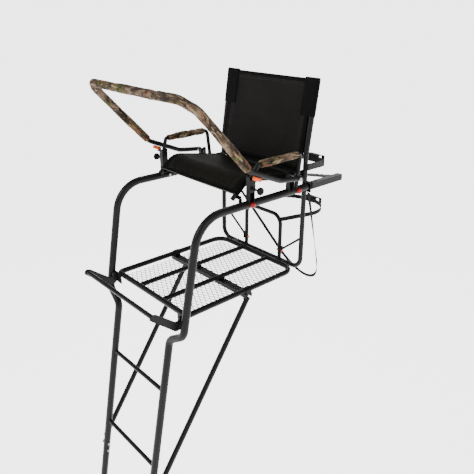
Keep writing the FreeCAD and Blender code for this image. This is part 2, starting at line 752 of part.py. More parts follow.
def back_lower_bar():
    """The bar between the verticals that holds the sling's lower hem, on two welded tabs."""
    start, end = x_line(BACK_BAR_Y, BACK_BAR_Z, -(FRAME_X - 14), FRAME_X - 14)
    bar = rod(start, end, 8.0).cut(rod(start, end, 6.5))
    for side in (1, -1):
        tab = Part.makeBox(4, 26, 16, Vector(side * (FRAME_X - 14) - 2, BACK_BAR_Y - 8, BACK_BAR_Z - 8))
        bar = bar.fuse(tab)
    feature("back_lower_bar", bar)


# ---------------------------------------------------------------- armrests

ARM_X = size("armrest_span") / 2
BRACKET_WEB = RAIL_X + 2.0
BRACKET_OUT = RAIL_X + 26.0
BRACKET_FOOT = 15.0
FRONT_BRACKET_Y = -655.0
FRONT_BRACKET_WIDTH = 34.0
PIVOT_Y = PLATFORM_REAR - 103.0
PIVOT_Z = 86.0
SHOOT_X = size("shooting_rail_span") / 2
ARM_TOP = 190.0
ARM_FRONT_Y = PLATFORM_REAR - 340.0
ARM_REAR_Y = PLATFORM_REAR - 54.0


def channel(width, height, base_z, centre_y, side):
    """An upright U channel that opens outwards, standing on a side rail."""
    depth = BRACKET_OUT - BRACKET_WEB
    outer = Part.makeBox(depth, width, height, Vector(BRACKET_WEB, centre_y - width / 2, base_z))
    inner = Part.makeBox(depth, width - 5, height,
                         Vector(BRACKET_WEB + 2.5, centre_y - width / 2 + 2.5, base_z))
    shape = outer.cut(inner)
    rail = rod(Vector(RAIL_X, centre_y - width, 0), Vector(RAIL_X, centre_y + width, 0), MAIN_R)
    shape = shape.cut(rail)
    if side < 0:
        shape = shape.mirror(Vector(), Vector(1, 0, 0))
    return shape


def front_bracket(side):
    """The upright by the seat's front: armrest post, knob boss and the shooting rail's rest arm."""
    shape = channel(FRONT_BRACKET_WIDTH, 123.0, BRACKET_FOOT, FRONT_BRACKET_Y, side)
    rest = rest_centre()
    arm = Part.makeBox(SHOOT_X - BRACKET_OUT - 9, 14, 5, Vector(BRACKET_OUT, rest.y - 7, rest.z - 14.5))
    plate_front = FRONT_BRACKET_Y - FRONT_BRACKET_WIDTH / 2
    nut_plate = Part.makeBox(3, FRONT_BRACKET_WIDTH, 61, Vector(BRACKET_OUT, plate_front, KNOB_Z - 17))
    boss = rod(*x_line(KNOB_Y, KNOB_Z, BRACKET_OUT, BRACKET_OUT + 10), 9.0)
    extra = arm.fuse([nut_plate, boss])
    if side < 0:
        extra = extra.mirror(Vector(), Vector(1, 0, 0))
    bore = rod(*x_line(KNOB_Y, KNOB_Z, BRACKET_OUT - 1, BRACKET_OUT + 20, side),
               5.0 + size("hinge_clearance"))
    return shape.fuse(extra).cut(bore)


def rear_bracket(side):
    """The upright by the tree that carries the shooting rail's pivot."""
    shape = channel(36.0, 89.0, BRACKET_FOOT, PIVOT_Y, side)
    bore = rod(*x_line(PIVOT_Y, PIVOT_Z, BRACKET_WEB - 2, BRACKET_OUT + 2, side), 5.2)
    return shape.cut(bore)


def armrest_points(side):
    """Centre line from inside the front bracket, over the top and down to the side rail."""
    return [
        Vector(side * (BRACKET_WEB + 2.6 + ARM_R), FRONT_BRACKET_Y, 62),
        Vector(side * (BRACKET_WEB + 2.6 + ARM_R), FRONT_BRACKET_Y + 4, 142),
        Vector(side * ARM_X, ARM_FRONT_Y, ARM_TOP),
        Vector(side * ARM_X, ARM_REAR_Y, ARM_TOP + 4),
        Vector(side * (RAIL_X + 4), ARM_REAR_Y + 5, 5),
    ]


def armrest(side):
    """A bent tube: front post, level top and a rear post welded on top of the side rail."""
    tube = swept_tube(armrest_points(side), [40.0, 16.0, 24.0], ARM_R, ARM_R - 1.5)
    rail = rod(Vector(side * RAIL_X, ARM_REAR_Y - 60, 0), Vector(side * RAIL_X, ARM_REAR_Y + 60, 0), MAIN_R)
    return max(tube.cut(rail).Solids, key=lambda solid: solid.Volume)


def armrest_pad(side):
    """Foam over the armrest's level run."""
    top = armrest_points(side)
    along = (top[3] - top[2]).normalize()
    front = top[2] + along * 14
    rear = top[3] - along * 26
    return rod(front, rear, size("armrest_foam") / 2).cut(rod(front, rear, ARM_R + 0.02))


KNOB_Y = FRONT_BRACKET_Y - 2.0
KNOB_Z = 84.0


def clamp_knob(name, side):
    """A lobed knob on a threaded stem, turned by hand."""
    label = "knob_" + name
    body = new_body(label)
    half = flat_sketch(body, "HalfSection", "XZ_Plane")
    draw_loop(half, [(0, 0), (5, 0), (5, 44), (9, 46), (18, 50), (18, 60), (14, 64), (0, 64)])
    revolve(body, half, "V_Axis")
    groove = flat_sketch(body, "Lobe", "XY_Plane", Vector(0, 0, 47))
    draw_circle(groove, 22.5, 0, 7.0)
    flute = body.newObject("PartDesign::Pocket", "Flute")
    flute.Profile = groove
    flute.Length = 30
    flute.Reversed = True
    doc.recompute()
    pattern = body.newObject("PartDesign::PolarPattern", "Flutes")
    pattern.Originals = [flute]
    pattern.Axis = (half, ["V_Axis"])
    pattern.Angle = 360
    pattern.Occurrences = 6
    body.Tip = pattern
    doc.recompute()
    turn = Rotation(Vector(0, 1, 0), 90 * side)
    body.Placement = Placement(Vector(side * (BRACKET_OUT - 1), KNOB_Y, KNOB_Z), turn)


# ---------------------------------------------------------------- shooting rail

def shooting_rail_points():
    """Centre line of the left half, from behind the pivot to the middle of the front bar."""
    return [
        Vector(SHOOT_X, PIVOT_Y + 24, PIVOT_Z - 3),
        Vector(SHOOT_X, PLATFORM_REAR - 227, 100),
        Vector(SHOOT_X, PLATFORM_REAR - 424, 181),
        Vector(SHOOT_X, PLATFORM_REAR - 705, 475),
        Vector(SHOOT_X - 62, PLATFORM_REAR - 747, 512),
        Vector(0, PLATFORM_REAR - 747, 512),
    ]


def mirrored(points):
    """The points and their mirror images, back along the other side."""
    other = [Vector(-point.x, point.y, point.z) for point in reversed(points[:-1])]
    return points[:-1] + other


def shooting_rail():
    """One tube round the front of the sitter, hinged at its two rear ends."""
    half = shooting_rail_points()
    radii = [90.0, 70.0, 44.0, 44.0]
    path = mirrored(half)
    tube = swept_tube(path, radii + radii[::-1], FRAME_R, FRAME_R - size("frame_wall"))
    holes = []
    for side in (1, -1):
        bore = 5.0 + size("hinge_clearance")
        holes.append(cross_hole(side * SHOOT_X, PIVOT_Y, PIVOT_Z, bore))
    feature("shooting_rail", tube.cut(holes))


FOAM_START = 16.0


def rail_foam():
    """Foam sleeve over the rail's arms and front bar."""
    half = shooting_rail_points()
    along = (half[3] - half[2]).normalize()
    half[2] = half[2] + along * FOAM_START
    path = mirrored(half[2:])
    sleeve = swept_tube(path, [44.0] * 4, size("foam_tube") / 2, FRAME_R + 0.02)
    feature("rail_foam", sleeve)


def rail_pivots():
    """Pivot bolts with the spacer tubes that stand the rail off its brackets."""
    bolts = []
    for side in (1, -1):
        inner = BRACKET_WEB + 2.6
        start, end = x_line(PIVOT_Y, PIVOT_Z, SHOOT_X + FRAME_R + 0.4, BRACKET_WEB - 0.2, side)
        spacer = rod(*x_line(PIVOT_Y, PIVOT_Z, inner, SHOOT_X - FRAME_R - 0.4, side), 9.0)
        bolts.append(bolt(start, end, 5.0).fuse(spacer))
    group("rail_pivots", bolts)


def rest_centre():
    """Middle of the rest, under the sloping stretch of the shooting rail."""
    half = shooting_rail_points()
    middle = half[1] + (half[2] - half[1]) * 0.72
    along = (half[2] - half[1]).normalize()
    below = Vector(0, along.z, -along.y)
    if below.z > 0:
        below = below * -1
    return middle + below * (FRAME_R + 10.0)


REST_HALF = 24.0


def rail_rest(side):
    """A soft sleeve that the shooting rail lies on."""
    half = shooting_rail_points()
    along = (half[2] - half[1]).normalize()
    centre = rest_centre()
    centre.x = side * SHOOT_X
    start = centre - along * REST_HALF
    end = centre + along * REST_HALF
    sleeve = rod(start, end, 9.0)
    return sleeve.makeFillet(3.0, [edge for edge in sleeve.Edges if edge.isClosed()])


# ---------------------------------------------------------------- seat and back

SEAT_TUBE_X = size("seat_tube_span") / 2
SEAT_PIVOT_Y = PLATFORM_REAR - 20.0
SEAT_PIVOT_Z = 52.0
SLING_START = 4.0
SLING_END = 26.0


def seat_points():
    """Side view of the seat tube's centre line, as (y, z), rear to front."""
    return [
        (SEAT_PIVOT_Y + 20, SEAT_PIVOT_Z - 3),
        (PLATFORM_REAR - 340, 107),
        (PLATFORM_REAR - 433, 30),
    ]


def seat_tube(side):
    """Side tube of the flip-up seat, bent down at the front."""
    points = [Vector(side * SEAT_TUBE_X, y, z) for y, z in seat_points()]
    tube = swept_tube(points, 90.0, LIGHT_R, LIGHT_R - size("light_wall"))
    bore = 5.0 + size("hinge_clearance")
    hole = cross_hole(side * SEAT_TUBE_X, SEAT_PIVOT_Y, SEAT_PIVOT_Z, bore)
    return tube.cut(hole)


def seat_cross_tubes():
    """Two tubes that join the side tubes, at the front hem and near the hinge."""
    (rear_y, rear_z), (crest_y, crest_z), (front_y, front_z) = seat_points()
    tubes = []
    along_front = Vector(0, crest_y - front_y, crest_z - front_z).normalize()
    front = Vector(0, front_y, front_z) + along_front * (SLING_END + 12)
    along_rear = Vector(0, crest_y - rear_y, crest_z - rear_z).normalize()
    rear = Vector(0, rear_y, rear_z) + along_rear * 62
    for place in (front, rear):
        start, end = x_line(place.y, place.z, -SEAT_TUBE_X, SEAT_TUBE_X)
        tube = rod(start, end, 8.0).cut(rod(start, end, 6.5))
        for side in (1, -1):
            points = [Vector(side * SEAT_TUBE_X, y, z) for y, z in seat_points()]
            tube = tube.cut(swept_tube(points, 90.0, LIGHT_R, 0))
        tubes.append(tube.Solids[0])
    group("seat_cross_tubes", tubes)


def offset_points(points, distance):
    """Side-view points moved sideways by a distance, for a band's other face."""
    moved = []
    for index, (y, z) in enumerate(points):
        before = points[max(index - 1, 0)]
        after = points[min(index + 1, len(points) - 1)]
        into = Vector(y - before[0], z - before[1], 0)
        out = Vector(after[0] - y, after[1] - z, 0)
        into = into.normalize() if into.Length > 0 else out.normalize()
        out = out.normalize() if out.Length > 0 else into
        normal = Vector(into.y + out.y, -(into.x + out.x), 0).normalize()
        scale = distance / normal.dot(Vector(into.y, -into.x, 0))
        moved.append(Vector(y, z, 0) + normal * scale)
    return moved




def seat_sling():
    """The seat's fabric, a thin curved sheet that lies along the side tubes."""
    body = new_body("seat_sling")
    profile = flat_sketch(body, "SideView", "YZ_Plane", Vector(0, 0, -size("sling_width") / 2))
    gap = LIGHT_R + 0.4
    thick = size("sling_thickness")
    points = seat_points()
    under = offset_points(points, gap)
    over = offset_points(points, gap + thick)
    under[0] = under[0] + (under[1] - under[0]).normalize() * SLING_START
    over[0] = over[0] + (over[1] - over[0]).normalize() * SLING_START
    under[-1] = under[-1] + (under[-2] - under[-1]).normalize() * SLING_END
    over[-1] = over[-1] + (over[-2] - over[-1]).normalize() * SLING_END
    for edge in bent_edges(under, 90.0 + gap) + bent_edges(over, 90.0 + gap + thick):
        profile.addGeometry(edge, False)
    profile.addGeometry(Part.LineSegment(under[0], over[0]), False)
    profile.addGeometry(Part.LineSegment(under[-1], over[-1]), False)
    pad(body, profile, "Dimensions.sling_width")


def seat_hinges():
    """Tabs on the verticals, with the pins that the seat turns on."""
    tabs = []
    pins = []
    for side in (1, -1):
        tab = Part.makeBox(3.0, 72, 30, Vector(FRAME_X - FRAME_R - 3.1, SEAT_PIVOT_Y - 14, SEAT_PIVOT_Z - 15))
        tab = tab.cut(cross_hole(FRAME_X - FRAME_R, SEAT_PIVOT_Y, SEAT_PIVOT_Z, 5.2))
        tabs.append(tab if side > 0 else tab.mirror(Vector(), Vector(1, 0, 0)))
        start, end = x_line(SEAT_PIVOT_Y, SEAT_PIVOT_Z, FRAME_X - FRAME_R + 0.2,
                            SEAT_TUBE_X - LIGHT_R - 0.6, side)
        pins.append(bolt(start, end, 5.0))
    group("seat_hinge_tabs", tabs)
    group("seat_pins", pins)


def seat_rests():
    """Sloping stops on the side rails that hold up the front of the seat."""
    crest, front = seat_points()[1:]
    slope = math.atan2(crest[1] - front[1], crest[0] - front[0])
    drop = LIGHT_R + 0.3 + 2.0
    reach = 74.0
    y = crest[0] - reach + math.sin(slope) * drop
    z = crest[1] - reach * math.tan(slope) - math.cos(slope) * drop
    rests = []
    for side in (1, -1):
        plate = Part.makeBox(4, 18, z - 4, Vector(RAIL_X - 18, y - 9, 0))
        rail = rod(Vector(RAIL_X, y - 40, 0), Vector(RAIL_X, y + 40, 0), MAIN_R)
        shelf = Part.makeBox(46, 18, 4, Vector(RAIL_X - 60, -9, -2))
        shelf.Placement = Placement(Vector(0, y, z), Rotation(Vector(1, 0, 0), math.degrees(slope)))
        rest = plate.fuse(shelf).cut(rail)
        rests.append(rest if side > 0 else rest.mirror(Vector(), Vector(1, 0, 0)))
    group("seat_rests", [rest.Solids[0] for rest in rests])


BACK_SLING_TILT = 10.4
POCKET_HEIGHT = 178.0


def back_sling():
    """The backrest's fabric, with closed pockets that hang on the uprights' tops."""
    body = new_body("back_sling")
    half = size("back_width") / 2
    thick = size("sling_thickness")
    height = size("back_height")
    panel = flat_sketch(body, "Panel", "XZ_Plane")
    draw_loop(panel, [(-half, 0), (half, 0), (half, height), (-half, height)])
    pad(body, panel, thick, "PanelPad")
    for side in (1, -1):
        pocket = flat_sketch(body, "Pocket", "XY_Plane", Vector(0, 0, height - POCKET_HEIGHT))
        corners = [(side * 240, -21), (side * 331, -21), (side * 331, 21), (side * 240, 21)]
        draw_loop(pocket, corners)
        pad(body, pocket, POCKET_HEIGHT + 6, "PocketPad")
    bar_top = BACK_BAR_Z + 9.0
    place = Placement(Vector(0, BACK_BAR_Y - 3.0, bar_top), Rotation(Vector(1, 0, 0), -BACK_SLING_TILT))
    body.Placement = place
    return body


def hollow_pockets(body):
    """The same sling with the uprights' room cut out of its pockets."""
    doc.recompute()
    foot = UPRIGHT_FOOT + 28
    cutters = []
    for side in (1, -1):
        low = Vector(side * FRAME_X, FRAME_Y, foot)
        top = Vector(side * FRAME_X, FRAME_Y + BACK_LEAN * (BACK_TOP - foot), BACK_TOP)
        direction = (top - low).normalize()
        cutters.append(rod(low, top + direction * 1.0, FRAME_R + 0.6))
    shell = body.Shape.cut(cutters)
    del nodes["back_sling"]
    body.Label = "back_sling_blank"
    feature("back_sling", shell)


# ---------------------------------------------------------------- tree fittings

def jaw_arm(name, side):
    """A square tube that carries the side rail's line on past the rear frame."""
    body = new_body("jaw_arm_" + name, member=True)
    half = size("arm_section") / 2
    section = flat_sketch(body, "Section", "XZ_Plane")
    for reach in (half, half - 2.0):
        draw_loop(section, [(-reach, -reach), (reach, -reach), (reach, reach), (-reach, reach)])
    length = JAW_ARM_END - (FRAME_Y + FRAME_R)
    pad(body, section, length)
    body.Placement = Placement(Vector(side * RAIL_X, JAW_ARM_END, 0), Rotation())
    return body


JAW_ARM_END = 27.0
JAW_APEX_Y = -222.0
JAW_SLOPE = 0.662
JAW_Z = 9.0


def tree_jaw():
    """A V of plate between the arms, with saw teeth that bite into the tree."""
    body = new_body("tree_jaw")
    reach = RAIL_X - size("arm_section") / 2
    outline = flat_sketch(body, "Outline", "XY_Plane")
    pitch = 24.0
    depth = 9.0
    width = size("jaw_width") * math.sqrt(1 + JAW_SLOPE ** 2)
    edge = [(0.0, JAW_APEX_Y)]
    x = 52.0
    while x + pitch < reach - 8:
        edge.append((x, JAW_APEX_Y + JAW_SLOPE * x))
        edge.append((x + pitch * 0.5, JAW_APEX_Y + JAW_SLOPE * (x + pitch * 0.5) - depth))
        x += pitch
    edge.append((x, JAW_APEX_Y + JAW_SLOPE * x))
    edge.append((reach, JAW_APEX_Y + JAW_SLOPE * reach))
    front = [(reach, JAW_APEX_Y + JAW_SLOPE * reach - width), (26.0, JAW_APEX_Y + 17.0 - width)]
    right = edge + front
    left = [(-x, y) for x, y in reversed(right[1:])]
    draw_loop(outline, right + left)
    pad(body, outline, "Dimensions.jaw_thickness")
    body.Placement = Placement(Vector(0, 0, JAW_Z), Rotation())


WRAP_STEPS = 6


def strap_plan(anchor, anchor_r, trunk_r):
    """The left half of a strap seen from above: round its anchor, then along to the trunk's back."""
    centre = Vector(anchor[0], anchor[1], 0)
    toward = centre * (-1 / centre.Length)
    outward = Vector(-toward.y, toward.x, 0)
    if outward.x < 0:
        outward = outward * -1
    cosine = (anchor_r - trunk_r) / centre.Length
    normal = toward * cosine + outward * math.sqrt(1 - cosine ** 2)
    leave = centre + normal * anchor_r
    meet = normal * trunk_r
    points = []
    start_angle = math.atan2(normal.y, normal.x)
    for step in range(WRAP_STEPS, 0, -1):
        angle = start_angle - math.radians(15 * step)
        points.append(centre + Vector(math.cos(angle), math.sin(angle), 0) * anchor_r)
    for step in range(9):
        points.append(leave + (meet - leave) * (step / 8))
    sweep = math.pi / 2 - start_angle
    for step in range(1, 19):
        angle = start_angle + sweep * step / 18
        points.append(Vector(math.cos(angle), math.sin(angle), 0) * trunk_r)
    return points


def webbing_loop(plan, width, slope, twist=0):
    """Flat webbing along a plan and its mirror image, falling away towards the back.

    Over the first and last `twist` points it turns from lying square to the X axis.
    """
    points = []
    for point in plan + [Vector(-point.x, point.y, 0) for point in reversed(plan[:-1])]:
        points.append(Vector(point.x, point.y, slope * (point.y - plan[0].y)))
    sections = []
    half_thick = size("webbing_thickness") / 2
    for index, point in enumerate(points):
        before = points[max(index - 1, 0)]
        after = points[min(index + 1, len(points) - 1)]
        along = (after - before).normalize()
        through = Vector(along.y, -along.x, 0).normalize() * half_thick
        across = along.cross(through).normalize()
        from_end = min(index, len(points) - 1 - index)
        if from_end < twist:
            level = Vector(math.copysign(1, across.x), 0, 0)
            across = across * (from_end / twist) + level * (1 - from_end / twist)
            across = (across - along * across.dot(along)).normalize()
            through = across.cross(along).normalize() * half_thick
        across = across * (width / 2)
        corners = [point - through - across, point + through - across,
                   point + through + across, point - through + across]
        sections.append(Part.makePolygon(corners + corners[:1]))
    return Part.makeLoft(sections, True, True)


def strap(label, anchor, anchor_r, width, anchor_z, tilt):
    """Webbing hooked round two upright tubes and pulled tight round the trunk."""
    layer = size("webbing_thickness") / 2
    plan = strap_plan(anchor, anchor_r + layer + 0.3, size("trunk_radius") + layer)
    band = webbing_loop(plan, width, math.tan(math.radians(tilt)))
    feature(label, band, Placement(Vector(0, 0, anchor_z), Rotation()))


def strap_hooks():
    """Rod hooks over the jaw arms that the long strap hangs from."""
    reach = size("arm_section") / 2 + 4.0
    hooks = []
    for side in (1, -1):
        points = [
            Vector(side * (RAIL_X + reach), HOOK_Y, -8), Vector(side * (RAIL_X + reach), HOOK_Y, reach),
            Vector(side * (RAIL_X - reach), HOOK_Y, reach), Vector(side * (RAIL_X - reach), HOOK_Y, HOOK_Z),
            Vector(side * (RAIL_X + 12), HOOK_Y, HOOK_Z),
        ]
        hooks.append(swept_tube(points, 6.0, 3.0, 0))
    group("strap_hooks", hooks)


def long_strap():
    """Narrow webbing from eyes under the jaw arms, steeply down and round the trunk's back."""
    layer = size("webbing_thickness") / 2
    eye_x = RAIL_X - 3.0
    plan = strap_plan((eye_x, HOOK_Y), 0.5, size("trunk_radius") + layer)[WRAP_STEPS:]
    fall = math.tan(math.radians(LONG_TILT))
    place = Vector(0, 0, HOOK_Z + 6.0 * fall)
    band = webbing_loop(plan, size("narrow_webbing") * 0.72, fall, 8)
    band.Placement = Placement(place, Rotation())
    for side in (1, -1):
        start, end = x_line(HOOK_Y, HOOK_Z, eye_x - 9, eye_x + 9, side)
        band = band.fuse(rod(start, end, 7.5))
    for side in (1, -1):
        start, end = x_line(HOOK_Y, HOOK_Z, eye_x - 20, eye_x + 20, side)
        band = band.cut(rod(start, end, 3.3))
    feature("long_strap", band)


HOOK_Y = FRAME_Y + FRAME_R + 12.0
HOOK_Z = -28.0
UPPER_STRAP_Z = 105.0
LOWER_STRAP_Z = -236.0
UPPER_TILT = -12.4
LOWER_TILT = -2.4
LONG_TILT = -61.0


def straps():
    strap("upper_strap", (FRAME_X, FRAME_Y), FRAME_R, size("wide_webbing"), UPPER_STRAP_Z, UPPER_TILT)
    strap("lower_strap", (HOOP_X, HOOP_Y), LIGHT_R, size("narrow_webbing"), LOWER_STRAP_Z, LOWER_TILT)
    long_strap()
    strap_hooks()


def ratchet_place(hinge_y, anchor_z, tilt):
    """Where a ratchet sits: flat on the strap behind the trunk."""
    back = size("trunk_radius") + size("webbing_thickness") + 0.4
    fall = math.tan(math.radians(tilt)) * (back - hinge_y)
    return Placement(Vector(0, back, anchor_z + fall), Rotation())


RATCHET_AXIS = Vector(-30.0, 15.0, 0.0)


def ratchet(prefix, webbing, place):
    """A buckle frame, the slotted spool that winds the webbing and the pumping handle."""
    half = webbing / 2 + 2
    spool_r = 7.0
    bore_r = spool_r + size("hinge_clearance")
    frame = new_body(prefix + "_ratchet_frame")
    base = flat_sketch(frame, "Base", "XY_Plane", Vector(0, 0, -half))
    draw_loop(base, [(-46, 0.2), (46, 0.2), (46, 2.2), (-46, 2.2)])
    pad(frame, base, 2 * half, "BasePad")
    for low in (-half - 2, half):
        cheek = flat_sketch(frame, "Cheek", "XY_Plane", Vector(0, 0, low))
        draw_loop(cheek, [(-46, 0.2), (46, 0.2), (46, 10), (20, 14), (-14, 25), (-36, 27), (-46, 18)])
        draw_circle(cheek, RATCHET_AXIS.x, RATCHET_AXIS.y, bore_r)
        pad(frame, cheek, 2.0, "CheekPad")
    frame.Placement = place

    spool = new_body(prefix + "_ratchet_spool")
    barrel = flat_sketch(spool, "Barrel", "XY_Plane", Vector(0, 0, -half - 7))
    draw_circle(barrel, RATCHET_AXIS.x, RATCHET_AXIS.y, spool_r)
    pad(spool, barrel, 2 * half + 14)
    slot = flat_sketch(spool, "Slot", "XY_Plane", Vector(0, 0, 0))
    left = RATCHET_AXIS.x - 4.5
    low_y = RATCHET_AXIS.y - 1.6
    draw_loop(slot, [(left, low_y), (left + 9, low_y), (left + 9, low_y + 3.2), (left, low_y + 3.2)])
    opened = spool.newObject("PartDesign::Pocket", "SlotPocket")
    opened.Profile = slot
    opened.Length = webbing + 2
    opened.Midplane = True
    spool.Tip = opened
    doc.recompute()
    spool.Placement = place

    handle = new_body(prefix + "_ratchet_handle")
    for low in (-half - 5, half + 3):
        cheek = flat_sketch(handle, "Arm", "XY_Plane", Vector(0, 0, low))
        draw_loop(cheek, [(-42, 8), (-20, 3.5), (66, 9), (74, 14), (74, 20), (60, 23), (-20, 27), (-42, 24)])
        draw_circle(cheek, RATCHET_AXIS.x, RATCHET_AXIS.y, bore_r)
        pad(handle, cheek, 2.0, "ArmPad")
    grip = flat_sketch(handle, "Grip", "XY_Plane", Vector(0, 0, -half - 4))
    draw_loop(grip, [(54, 16), (72, 14), (73, 20), (60, 22.5), (54, 22.5)])
    pad(handle, grip, 2 * half + 8, "GripPad")
    handle.Placement = place


PAIRS = [
    ("back_uprights", back_upright), ("front_brackets", front_bracket),
    ("rear_brackets", rear_bracket), ("armrests", armrest), ("armrest_pads", armrest_pad),
    ("rail_rests", rail_rest), ("seat_tubes", seat_tube),
]


def build():
    for name, side in SIDES:
        arch_rail(name, side)
        side_rail(name, side)
        clamp_knob(name, side)
    gather("struts", [strut(name, side) for name, side in SIDES])
    gather("jaw_arms", [jaw_arm(name, side) for name, side in SIDES])
    for label, make in PAIRS:
        group(label, [make(side) for name, side in SIDES])
    middle_top = rung_z(0) - TUBE_JOINTS[0]
    bottom_top = rung_z(0) - TUBE_JOINTS[1]
    for name, side in SIDES:
        ladder_section_rail("middle_rail_" + name, side, middle_top - JOINT_GAP, bottom_top)
        ladder_section_rail("bottom_rail_" + name, side, bottom_top - JOINT_GAP, GROUND_Z + 5.0, True)
    rungs()
    foot_plates()
    ladder_pins()
    strut_bolts()
    footrest_bar()
    footrest_arms()
    platform_frame()
    platform_bars()
    platform_cross_bar()
    platform_clamps()
    platform_mesh()
    platform_gussets()
    rear_clips()
    rear_frame()
    tree_hoop()
    hoop_braces()
    hoop_bolts()
    rail_bolts()
    back_lower_bar()
    shooting_rail()
    rail_foam()
    rail_pivots()
    seat_cross_tubes()
    seat_sling()
    seat_hinges()
    seat_rests()
    hollow_pockets(back_sling())
    tree_jaw()
    straps()
    ratchet("upper", size("wide_webbing"), ratchet_place(FRAME_Y, UPPER_STRAP_Z, UPPER_TILT))
    ratchet("lower", size("narrow_webbing"), ratchet_place(HOOP_Y, LOWER_STRAP_Z, LOWER_TILT))


def export():
    """Check every object, then write each sub-part to its own file."""
    doc.recompute()
    for obj in doc.Objects:
        bad = [word for word in obj.State if word in ("Invalid", "Error")]
        assert not bad, (obj.Label, obj.State)
    broken = []
    for label, obj in nodes.items():
        assert obj.Label == label, (obj.Label, label)
        if obj.Shape.isNull() or not obj.Shape.isValid() or obj.Shape.Volume <= 0:
            broken.append(label)
    assert not broken, broken
    os.makedirs("parts", exist_ok=True)
    for label, obj in nodes.items():
        obj.Shape.exportStep(os.path.join("parts", label + ".step"))
        print("%-28s %8.1f cm3" % (label, obj.Shape.Volume / 1000))
    print(len(nodes), "sub-parts")


build()
export()
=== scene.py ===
"""Looks of the ladder tree stand: woven slings, camouflage foam, mesh deck, webbing, paint, studio."""
import json
import math
import random

import bpy
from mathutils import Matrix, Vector, noise

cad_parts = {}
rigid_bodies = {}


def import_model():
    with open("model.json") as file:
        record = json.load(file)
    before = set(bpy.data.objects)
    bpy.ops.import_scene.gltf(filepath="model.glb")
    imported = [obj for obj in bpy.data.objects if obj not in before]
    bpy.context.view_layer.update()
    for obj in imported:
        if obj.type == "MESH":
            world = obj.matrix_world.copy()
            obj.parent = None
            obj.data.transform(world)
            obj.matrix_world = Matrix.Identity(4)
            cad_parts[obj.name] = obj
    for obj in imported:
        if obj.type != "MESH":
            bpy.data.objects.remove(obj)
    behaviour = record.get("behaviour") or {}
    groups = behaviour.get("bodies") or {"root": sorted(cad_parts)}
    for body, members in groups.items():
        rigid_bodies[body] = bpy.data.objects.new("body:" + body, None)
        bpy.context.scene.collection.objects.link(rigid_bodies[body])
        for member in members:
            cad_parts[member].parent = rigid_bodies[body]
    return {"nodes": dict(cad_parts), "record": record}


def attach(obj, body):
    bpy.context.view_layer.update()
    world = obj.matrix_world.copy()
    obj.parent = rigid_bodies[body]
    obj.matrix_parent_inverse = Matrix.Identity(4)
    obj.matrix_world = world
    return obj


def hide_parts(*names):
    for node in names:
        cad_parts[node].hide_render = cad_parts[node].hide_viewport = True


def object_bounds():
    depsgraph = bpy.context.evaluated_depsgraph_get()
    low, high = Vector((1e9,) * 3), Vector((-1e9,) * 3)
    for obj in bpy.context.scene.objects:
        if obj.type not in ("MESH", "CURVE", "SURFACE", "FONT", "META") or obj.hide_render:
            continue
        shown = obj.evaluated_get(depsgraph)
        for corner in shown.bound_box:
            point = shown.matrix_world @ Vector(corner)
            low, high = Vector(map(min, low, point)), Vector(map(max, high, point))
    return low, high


for leftover in list(bpy.data.objects):
    bpy.data.objects.remove(leftover)
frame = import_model()
cad_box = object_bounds()
nodes = frame["nodes"]

# Driving sizes of the CAD model, in metres.
PLATFORM_REAR = -0.285
PLATFORM_Z = -0.470
PLATFORM_DEPTH = 0.725
PLATFORM_HALF = 0.300
LIGHT_R = 0.0111
PLATFORM_R = 0.0143
FRAME_R = 0.0127
MAIN_R = 0.01905
ARM_R = 0.010
FRAME_X = 0.315
FRAME_Y = -0.248
LADDER_X = 0.230
SHOOT_X = 0.392
ARM_X = 0.358
SEAT_TUBE_X = 0.288
SEAT_BEND = 0.090
SHOOT_BEND = 0.044
BACK_BAR_Z = 0.076
UPRIGHT_BEND_Z = 0.158
UPRIGHT_LEAN = 0.15
LADDER_LEAN = math.tan(math.radians(10.6))
LADDER_LEAD = 0.028
FIRST_RUNG = 0.416
RUNG_PITCH = 0.435
RUNG_COUNT = 7


# ---------------------------------------------------------------- node helpers

def shader(name, rough, metallic=0.0, **uniform):
    """A material with one Principled shader; uniform values are set on its own sockets."""
    material = bpy.data.materials.new(name)
    material.use_nodes = True
    tree = material.node_tree
    surface = tree.nodes["Principled BSDF"]
    surface.inputs["Roughness"].default_value = rough
    surface.inputs["Metallic"].default_value = metallic
    for key, value in uniform.items():
        surface.inputs[key.replace("_", " ")].default_value = value
    return material, tree, surface


def add(tree, kind, **values):
    """A shader node of a kind, with values set on its inputs."""
    made = tree.nodes.new("ShaderNode" + kind)
    for key, value in values.items():
        made.inputs[key.replace("_", " ")].default_value = value
    return made


def coords(tree, scale=(1, 1, 1), turn=(0, 0, 0)):
    """Object coordinates, stretched and turned."""
    source = tree.nodes.new("ShaderNodeTexCoord")
    mapping = tree.nodes.new("ShaderNodeMapping")
    mapping.inputs["Scale"].default_value = scale
    mapping.inputs["Rotation"].default_value = turn
    tree.links.new(source.outputs["Object"], mapping.inputs["Vector"])
    return mapping.outputs["Vector"]


def ramp(tree, factor, stops):
    """A colour ramp of (position, colour) stops."""
    made = tree.nodes.new("ShaderNodeValToRGB")
    elements = made.color_ramp.elements
    while len(elements) < len(stops):
        elements.new(0.5)
    for element, (position, colour) in zip(elements, stops):
        element.position = position
        element.color = (*colour, 1)
    tree.links.new(factor, made.inputs["Fac"])
    return made.outputs["Color"]


def grey(value):
    """A neutral colour."""
    return (value, value, value)


def noise_map(tree, vector, scale, detail=3.0, distortion=0.0):
    """Noise from 0 to 1 over the given coordinates."""
    made = add(tree, "TexNoise", Scale=scale, Detail=detail, Distortion=distortion)
    tree.links.new(vector, made.inputs["Vector"])
    return made.outputs["Fac"]


